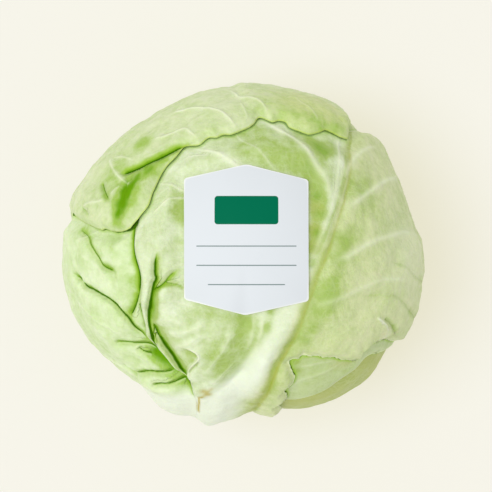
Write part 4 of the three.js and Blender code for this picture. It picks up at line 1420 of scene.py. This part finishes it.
# Deeper green patches, mostly painted shade in the pits near the creases; negative amounts paint paler
# patches
spots(
    left, "deep",
    (131, 285, 7, 0.5), (131, 262, 5, 0.3), (156, 358, 5, 2.0), (163, 363, 5, 2.0), (145, 349, 5, 0.4),
    (172, 373, 6, 0.9), (140, 379, 8, 0.5), (100, 287, 5, -0.5), (152, 352, 5, 1.0), (167, 370, 6, 0.9),
    (180, 381, 6, 0.8), (188, 390, 5, 0.7), (196, 397, 4, 0.4), (135, 240, 8, 0.2), (145, 352, 6, 0.4),
    (118, 308, 7, 0.1), (125, 330, 6, 0.1), (112, 240, 9, 0.4), (90, 295, 10, -0.2), (85, 250, 8, 0.1),
    (105, 348, 10, 0.1), (125, 358, 8, 0.2), (110, 245, 7, 0.1), (95, 236, 5, -0.3), (126, 236, 5, -0.4),
    (170, 362, 5, 0.5), (175, 388, 6, 0.4), (160, 384, 6, 0.3), (95, 320, 10, -0.3), (110, 285, 8, 0.15),
    (68, 270, 8, 0.2), (120, 388, 10, 0.2),
)
for line in (
    ([(75, 242), (86, 233), (98, 226), (112, 222)], (1.2, 1.0), (0.4, 0.3), (0.4, 0.3)),
    ([(82, 254), (92, 262), (103, 274), (114, 284)], (1.2, 0.9), (0.4, 0.3), (0.4, 0.3)),
    ([(74, 300), (90, 312), (108, 326), (124, 334)], (1.2, 0.9), (0.4, 0.3), (0.35, 0.3)),
    ([(98, 352), (115, 362), (132, 374), (150, 384), (165, 392)], (1.4, 2.5), (0.4, 0.6), (0.3, 0.6)),
    ([beside_stem(-55), (168, 398), (138, 372), (108, 335), (85, 290)], (12, 4), (4.0, 0.5), (0.2, 0.0)),
):
    vein(left, *line)
crumple(left, 22, 0.8, 2)
crumple(left, 8, 0.3, 12)
quilt(left, 9, 0.4, 2)
green_hollows(left, 0.45)
vary(left, "deep", 6, 0.35, 2)
spots(left, "flesh", (68, 212, 6.0, 1.6))
# Less painted margin shadow where the top leaf's end meets this leaf
spots(left, "over", (78, 222, 9.0, -4.0))
hug(left, 0.6)
finish_leaf(left, "left_wrapper", left_skin)

# %% [markdown]
# ## The top leaf
# The outermost leaf comes up from the table side at the back and folds over the top. Its margin is waved
# and lies over the front leaf, with a deep fold near its left end.

# %% Start the top leaf, fold it and vein it
top = start_leaf("leaf_top", 170, 210, along=[(0, 0), (0.35, 0.5), (1, 1)], puff=2.2)
for line in (
    ([(120, 175), (123, 173), (130, 170), (140, 165.5), (150, 162), (160, 158), (170, 152.5), (180, 147),
     (186, 144.5)], (4.0, 7.0), (0.9, 1.0), (1.3, 1.2), (1.6, 1.4)),
    ([(128, 176), (126, 190), (122, 205), (118, 220)], (6.0, 7.0), (0.9, 0.8), (0.0, 0.0), (1.0, 1.2)),
    ([(101, 181), (103, 187), (107, 194), (112, 201)], (3.0, 3.0), (0.6, 0.6), (0.74, 0.72), (0.2, 0.2)),
    ([(84, 208), (90, 212), (93, 216)], (3.0, 3.0), (0.5, 0.4), (0.6, 0.5), (0.1, 0.2)),
):
    crease(top, *line)
for line in (
    ([(106, 156), (108, 160), (112, 169), (120, 178), (128, 183), (133, 186)], (2.4, 2.4),
     (0.8, 1.2), 0.5),
    ([(110, 194), (113, 189), (118, 184)], (2.5, 2.5), (0.7, 0.7), 0.4),
    ([(80, 208), (88, 203), (98, 201), (105, 199)], (3.0, 3.0), (1.0, 0.8), 0.6),
):
    ridge(top, *line)
for line in (
    ([(110, 155), (118, 154), (125, 155.5), (130, 158)], (1.1, 1.0), (0.4, 0.3), (0.6, 0.4)),
    ([(150, 137), (160, 134), (170, 130), (178, 128), (184, 127), (190, 131), (198, 137)], (1.2, 1.2),
     (0.5, 0.5), (0.7, 0.7)),
    ([(168, 110), (180, 107), (190, 105.5), (200, 105), (210, 107), (220, 110), (228, 116), (234, 123),
     (238, 128)], (1.5, 1.3), (0.6, 0.6), (0.9, 0.8)),
    ([(230, 86), (240, 94), (250, 98), (258, 101), (264, 106), (268, 112)], (1.4, 1.1), (0.6, 0.4),
     (0.8, 0.5)),
    ([(240, 100), (245, 109), (248, 117)], (1.0, 0.9), (0.3, 0.3), (0.5, 0.4)),
    ([(140, 155), (150, 152), (162, 149)], (1.0, 0.9), (0.3, 0.2), (0.35, 0.3)),
    ([(290, 95), (300, 103), (312, 113), (318, 125)], (1.2, 0.9), (0.3, 0.3), (0.3, 0.3)),
    ([beside_stem(182), (175, 350, UNDER), (135, 280, UNDER), (100, 200, UNDER), (110, 150)], (11, 3),
     (4.0, 0.8), (1.0, 0.4)),
):
    vein(top, *line)
print("veined share of the top leaf:", round(float((top["vein"] > 0).mean()), 2))

# %% Its greens and bulges
# Deeper green patches, mostly painted shade in the fold's valley and under the margin
spots(
    top, "deep",
    (136, 178, 6, 0.7), (131, 192, 5, 0.6), (133, 205, 5, 0.4), (131, 180, 6, 1.4), (127, 194, 5.5, 2.4),
    (122, 206, 5, 1.7), (118, 219, 4, 1.2), (140, 140, 7, 0.8), (146, 169, 4, 1.2), (160, 156, 4, 0.4),
    (270, 108, 10, 0.2), (92, 228, 6, -0.4), (100, 215, 6, -0.3), (80, 215, 6, -0.3),
    (300, 118, 10, 0.3), (285, 113, 6, 0.2), (320, 125, 7, 0.4), (337, 130, 6, 0.4), (150, 165, 8, 0.6),
    (162, 158, 6, 0.1), (108, 190, 8, 0.4), (95, 205, 6, 0.1), (180, 120, 18, 0.05),
    (225, 112, 16, -0.15), (140, 200, 8, 0.1), (115, 165, 8, 0.5), (105, 175, 6, 0.3),
    (112, 160, 12, 0.2), (92, 185, 8, 0.2),
)
vary(top, "deep", 4, 0.6, 3)
spots(top, "rise", (144, 182, 9, 1.4), (136, 208, 8, 1.2), (88, 212, 5, 0.9), (104, 212, 6, 0.9))
spots(top, "flesh", SHOULDER)
crumple(top, 26, 0.7, 3)
crumple(top, 9, 0.3, 13)
quilt(top, 11, 0.35, 3)
green_hollows(top, 0.4)
spots(top, "warm", (325, 112, 22, 1.0), (300, 100, 20, 0.8))
top["white"] = smoothstep(top["d"] @ STEM, 0.75, 0.95)
hug(top, 0.8)
finish_leaf(top, "top_wrapper", top_skin)

# %% [markdown]
# ## The leaves on the right and at the back
# Through the tear in the front leaf another leaf shows, and below it a strip of a third one, which makes
# the cabbage's edge. A fourth covers the table side at the right and peeks out behind the top.

# %% The right leaf, seen through the tear
right = start_leaf("leaf_right", 100, 120, puff=1.2)
for line in (
    ([(262, 405), (300, 385), (340, 368), (358, 356), (378, 341)], (2.0, 1.2), (0.6, 0.4), (0.3, 0.2)),
    ([(300, 370), (320, 366), (345, 362)], (1.2, 1.0), (0.3, 0.2), (0.3, 0.2)),
):
    vein(right, *line)
# Painted shadow: deeper green beside the front leaf's torn margin
spots(
    right, "deep",
    (325, 365, 12, 0.2), (297, 365, 2.5, 1.2), (298, 374, 2.5, 1.0), (294, 382, 2.5, 0.7),
    (287, 393, 2.2, 1.0), (283, 405, 2.0, 0.8),
)
spots(right, "dry", (352, 362, 5, 0.25), (340, 366, 4, 0.15))
crumple(right, 20, 0.5, 4)
spots(right, "flesh", (396, 346, 9.0, 1.3))
hug(right, 0.5)
finish_leaf(right, "right_wrapper", right_skin)

# %% The strip of leaf below it
under = start_leaf("leaf_under", 90, 110, puff=0.4)
vein(under, [beside_stem(80), (290, 406, UNDER), (322, 388, UNDER), (354, 360, UNDER), (383, 322, UNDER),
     (398, 290, UNDER)], (6, 1.6), (3.0, 0.5), (1.0, 0.5))
UNDER_RIBS = (
    [(310, 395, UNDER), (334, 391, UNDER), (350, 383, UNDER)],
    [(340, 373, UNDER), (362, 366, UNDER), (380, 352, UNDER)],
    [(326, 385, UNDER), (340, 350, UNDER), (365, 310, UNDER)],
    [(300, 400, UNDER), (315, 365, UNDER), (330, 335, UNDER)],
    [(365, 345, UNDER), (384, 336, UNDER), (398, 322, UNDER)],
    [(372, 336, UNDER), (374, 310, UNDER), (384, 280, UNDER)],
)
for points in UNDER_RIBS:
    vein(under, points, (1.8, 0.9), (0.6, 0.3), (0.8, 0.5))
# The half facing the table takes the darker warm pale, painted shade
under["warm"] = smoothstep(under["d"][:, 2], -0.2, 0.0)
quilt(under, 12, 0.4, 5)
crumple(under, 24, 0.6, 5)
green_hollows(under, 0.3)
spots(under, "flesh", (398, 343, 9.0, 1.2))
finish_leaf(under, "lower_wrapper", under_skin)

# %% The leaf at the back
back = start_leaf("leaf_back", 110, 130, puff=0.4)
BACK_RIBS = (
    [(300, 325, UNDER), (330, 315, UNDER), (360, 300, UNDER)],
    [(320, 290, UNDER), (350, 270, UNDER), (380, 250, UNDER)],
    [(335, 250, UNDER), (358, 228, UNDER), (385, 205, UNDER)],
    [(340, 215, UNDER), (360, 190, UNDER), (378, 170, UNDER)],
)
for points in BACK_RIBS:
    vein(back, points, (2.4, 1.2), (0.5, 0.3), (0.8, 0.6))
vein(back, [beside_stem(115), (290, 340, UNDER), (335, 260, UNDER), (345, 180, UNDER)], (9, 3), (3.6, 1.0),
     (1.0, 0.6))
spots(back, "flesh", SHOULDER)
crumple(back, 26, 0.5, 6)
back["white"] = smoothstep(back["d"] @ STEM, 0.75, 0.95)
hug(back, 0.8)
quilt(back, 12, 0.4, 6)
green_hollows(back, 0.3)
finish_leaf(back, "back_wrapper", back_skin)

# %% [markdown]
# ## The head inside
# Under the wrappers is the dense head. It shows only through small gaps, so a subdivided ball that is
# pushed out to the head's surface is enough, with a pale green skin.

# %% The dense head
HEAD_CLEARANCE = 1.0
INNER_GREEN = (0.62, 0.72, 0.38, 1)
INNER_PALE = (0.76, 0.82, 0.52, 1)
inner_skin = Skin("inner_leaf_skin")
inner_coords = inner_skin.node("ShaderNodeTexCoord").outputs["Object"]
inner_net = inner_skin.cell_edges(inner_skin.warped(inner_coords, 60, 0.006), 90, 0.1)
inner_patches = inner_skin.noise(inner_coords, 30)
inner_colour = inner_skin.mix(inner_patches, INNER_GREEN, INNER_PALE)
inner_colour = inner_skin.mix(inner_skin.times(inner_net, 0.3), inner_colour, VEIN_COLOUR)
inner_skin.join(inner_colour, inner_skin.shader.inputs["Base Color"])
inner_skin.shader.inputs["Roughness"].default_value = 0.45
inner_skin.bump(inner_net, 0.0004, 0.5)

ball = bmesh.new()
bmesh.ops.create_icosphere(ball, subdivisions=6, radius=1)
towards = unit(np.array([v.co[:] for v in ball.verts]))
head_mesh = mesh_from(ball, "dense_head", in_place(towards, head_radius(towards) - HEAD_CLEARANCE))
head_mesh.materials.append(inner_skin.material)
head = add_object("dense_head", head_mesh)
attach(head, "root")
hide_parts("head")
print("dense head:", len(head_mesh.polygons), "faces")

# %% [markdown]
# ## The cut stem
# The stump is cut straight across, a little dry, with a ring under its rind and a softer core. It starts
# as a cylinder whose two ends are inset in rings and whose side is cut across. Then each point is moved
# into place: the cut end stands free, and the root lies on the head's hollow.

# %% The cut stem
STEM_END = 87.0
STEM_END_RADIUS = 16.5
STEM_ROOT_SPREAD = 12.2
STEM_GAP = 0.5
STEM_RINGS = 14
STEM_SIDES = 96
RIND = 0.035
RINGS_REACH = 0.9
LIP_HEIGHT = 1.0
RING_HEIGHT = 0.5
CUT_WAVES = 0.25


def stem_point(share, turn, radius_share):
    """A point of the stump: share 0 is its cut end, 1 its root."""
    away = STEM_UP * np.cos(turn) + STEM_RIGHT * np.sin(turn)
    end = STEM * STEM_END + radius_share * STEM_END_RADIUS * away
    root_d = beside_stem(np.degrees(turn), STEM_ROOT_SPREAD * radius_share)
    root = root_d * (head_radius(root_d) + STEM_GAP)
    return end + (root - end) * share


stump = bmesh.new()
bmesh.ops.create_cone(
    stump, cap_ends=True, cap_tris=False, segments=STEM_SIDES, radius1=1, radius2=1, depth=1,
)
caps = [f for f in stump.faces if len(f.verts) > 4]
for step in range(STEM_RINGS):
    inset_by = RIND if step == 0 else RINGS_REACH / STEM_RINGS
    bmesh.ops.inset_region(stump, faces=caps, thickness=inset_by, use_even_offset=False)
shafts = [e for e in stump.edges if abs(e.verts[0].co.z - e.verts[1].co.z) > 0.5]
bmesh.ops.subdivide_edges(stump, edges=shafts, cuts=4, use_grid_fill=True)
for v in stump.verts:
    turn = np.arctan2(v.co.y, v.co.x)
    reach = min(1.0, np.hypot(v.co.x, v.co.y))
    share = v.co.z + 0.5
    point = stem_point(share, turn, reach)
    if share < 0.01:
        lip = LIP_HEIGHT * smoothstep(reach, 0.93, 1.0) + RING_HEIGHT * np.exp(-((reach - 0.8) / 0.07) ** 2)
        point = point - STEM * lip + STEM * CUT_WAVES * noise.noise(Vector(point) * 0.35)
    v.co = (point + HEAD_CENTRE) * METRES
bmesh.ops.recalc_face_normals(stump, faces=stump.faces)
stem_mesh = bpy.data.meshes.new("cut_stem")
stump.to_mesh(stem_mesh)
stump.free()
stem_mesh.polygons.foreach_set("use_smooth", [True] * len(stem_mesh.polygons))
print("cut stem:", len(stem_mesh.polygons), "faces")

# %% [markdown]
# The stump's colour depends on the distance from its axis: pale flesh in the middle, a green ring near
# the edge, and a dry brown rind. A little noise makes the ring wander.

# %% The stump's skin
STEM_FLESH = (0.62, 0.66, 0.40, 1)
STEM_PALE_FLESH = (0.80, 0.80, 0.58, 1)
STEM_RING = (0.42, 0.50, 0.20, 1)
STEM_RIND = (0.50, 0.46, 0.25, 1)

stem_skin = Skin("stem_skin")
stem_coords = stem_skin.node("ShaderNodeTexCoord").outputs["Object"]
cut_middle = (STEM * STEM_END + HEAD_CENTRE) * METRES
axial = stem_skin.vector("CROSS_PRODUCT", stem_skin.vector("SUBTRACT", stem_coords, cut_middle), STEM)
wander = stem_skin.times(stem_skin.noise(stem_coords, 120), 0.004)
from_axis = stem_skin.plus(stem_skin.vector("LENGTH", axial), wander)
ring_start = stem_skin.ramp(from_axis, 0.0125, 0.0145)
ring_end = stem_skin.ramp(from_axis, 0.0150, 0.0170, 1, 0)
ring = stem_skin.times(stem_skin.times(ring_start, ring_end), 0.5)
stem_colour = stem_skin.mix(stem_skin.noise(stem_coords, 260, 4), STEM_FLESH, STEM_PALE_FLESH)
stem_colour = stem_skin.mix(ring, stem_colour, STEM_RING)
stem_colour = stem_skin.mix(stem_skin.ramp(from_axis, 0.017, 0.0185), stem_colour, STEM_RIND)
stem_skin.join(stem_colour, stem_skin.shader.inputs["Base Color"])
stem_skin.shader.inputs["Roughness"].default_value = 0.7
stem_skin.bump(stem_skin.noise(stem_coords, 700, 4), 0.0005, 0.7)
stem_mesh.materials.append(stem_skin.material)
stem = add_object("cut_stem", stem_mesh)
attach(stem, "root")
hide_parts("stem")
print("stump's ring lies between 12.5 and 17 mm from its axis")

# %% [markdown]
# ## The paper label
# A six-sided white sticker is stuck on the front leaf. It starts as one flat face with rounded corners,
# is cut into a fine net by planes so that it can bend, and is then laid on the leaf. It is left without
# words: a plain green band and plain rules fill its print area.

# %% Cut the label
LABEL_LIFT = 0.3
LABEL_SHEET = 0.25
CORNER_ROUNDING = 3.0
LABEL_NET = 3.0
FAR_INSIDE = 50.0

sheet = bmesh.new()
corners = [sheet.verts.new((column, -row, 0)) for column, row in LABEL_CORNERS]
sheet.faces.new(corners)
bmesh.ops.bevel(sheet, geom=sheet.verts[:], offset=CORNER_ROUNDING, segments=5, profile=0.5,
                affect="VERTICES", material=-1)
for k in (0, 1):
    low, high = min(v.co[k] for v in sheet.verts), max(v.co[k] for v in sheet.verts)
    for cut in np.arange(low + LABEL_NET, high, LABEL_NET):
        normal = [0, 0, 0]
        normal[k] = 1
        bmesh.ops.bisect_plane(sheet, geom=sheet.verts[:] + sheet.edges[:] + sheet.faces[:],
                               plane_co=[cut if j == k else 0 for j in range(3)], plane_no=normal)
bmesh.ops.triangulate(sheet, faces=[f for f in sheet.faces if len(f.verts) > 4])
for edge in sheet.edges:
    edge.smooth = not edge.is_boundary
print("label's net:", len(sheet.faces), "faces")

# %% [markdown]
# Paper bends only gently. So the front leaf's height under the label is smoothed to a quadratic, which is
# raised until the leaf doesn't show through.

# %% Lay the label on the leaf
label_d = np.array([place(v.co.x, -v.co.y) for v in sheet.verts])
under_label = {
    "d": label_d,
    "puff": np.full(len(label_d), FRONT_PUFF),
    "rise": np.zeros(len(label_d)),
    "press": press_on("leaf_front", label_d),
    "lift": lift_under("leaf_front", label_d),
    "inset": np.full(len(label_d), FAR_INSIDE),
    "curl": 0.0,
    "flesh": 0.0,
}
leaf_height = leaf_radius(under_label) - head_radius(label_d)
x, y = label_d[:, 0], label_d[:, 1]
smooth_parts = np.column_stack([np.ones(len(x)), x, y, x * x, x * y, y * y])
weights = np.linalg.lstsq(smooth_parts, leaf_height, rcond=None)[0]
paper_height = smooth_parts @ weights
paper_height += (leaf_height - paper_height).max() + LABEL_LIFT
label_mesh = mesh_from(sheet, "paper_label", in_place(label_d, head_radius(label_d) + paper_height))
paper_inset = look_up(label_margin, label_d).astype(np.float32)
label_mesh.attributes.new("inset", "FLOAT", "POINT").data.foreach_set("value", paper_inset)
print("label:", len(label_mesh.polygons), "faces")

# %% [markdown]
# The print is drawn by nodes from the distance to the label's middle: a rounded green bar, and three thin
# rules where a seller would write.

# %% Print the label and finish it
PAPER_COLOUR = (0.70, 0.745, 0.795, 1)
PAPER_FIBRE = (0.7, 0.73, 0.76, 1)
PAPER_EDGE = (0.88, 0.90, 0.90, 1)
BAND_COLOUR = (0.0, 0.15, 0.075, 1)
RULE_COLOUR = (0.06, 0.13, 0.12, 1)
PRINT_MIDDLE = in_place(place(246.5, 239)[None], np.array([MEAN_RADIUS]))[0]
BAND = {"at": (0.0, 15.2), "half": (16.6, 7.4), "corner": 1.6}
RULE_ROWS = ((-3.5, 26.0), (-13.5, 26.0), (-23.5, 20.0))
RULES = [{"at": (0.0, y), "half": (half, 0.28), "corner": 0.2} for y, half in RULE_ROWS]


def bar_mask(skin, x, y, bar):
    """1 inside a bar with rounded corners, from coordinates in millimetres."""
    reach = []
    for coordinate, at, half in zip((x, y), bar["at"], bar["half"]):
        gap = skin.math("ABSOLUTE", skin.minus(coordinate, at))
        reach.append(skin.most(skin.minus(gap, half - bar["corner"]), 0.0))
    length = skin.math("SQRT", skin.plus(*[skin.times(r, r) for r in reach]))
    return skin.ramp(length, bar["corner"] - 0.1, bar["corner"] + 0.1, 1.0, 0.0)


paper = Skin("label_paper")
paper_coords = paper.node("ShaderNodeTexCoord").outputs["Object"]
parts = paper.node("ShaderNodeSeparateXYZ")
paper.join(paper.vector("SUBTRACT", paper_coords, PRINT_MIDDLE), parts.inputs[0])
x_mm, y_mm = (paper.times(parts.outputs[axis], 1 / METRES) for axis in "XY")
fibre = paper.noise(paper_coords, 1800, 3)
paper_colour = paper.mix(paper.ramp(fibre, 0.3, 0.7, 0.0, 0.06), PAPER_COLOUR, PAPER_FIBRE)
paper_colour = paper.mix(paper.ramp(paper.attribute("inset"), 0.3, 1.3, 0.8, 0), paper_colour, PAPER_EDGE)
paper_colour = paper.mix(bar_mask(paper, x_mm, y_mm, BAND), paper_colour, BAND_COLOUR)
for rule in RULES:
    rule_share = paper.times(bar_mask(paper, x_mm, y_mm, rule), 0.8)
    paper_colour = paper.mix(rule_share, paper_colour, RULE_COLOUR)
paper.join(paper_colour, paper.shader.inputs["Base Color"])
paper.shader.inputs["Roughness"].default_value = 0.5
paper.shader.inputs["Specular IOR Level"].default_value = 0.03
paper.bump(fibre, 0.0001, 0.3)
label_mesh.materials.append(paper.material)
label = add_object("paper_label", label_mesh)
thicken(label, "paper", LABEL_SHEET)
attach(label, "root")
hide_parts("label")
print("label printed with a band and", len(RULES), "rules")
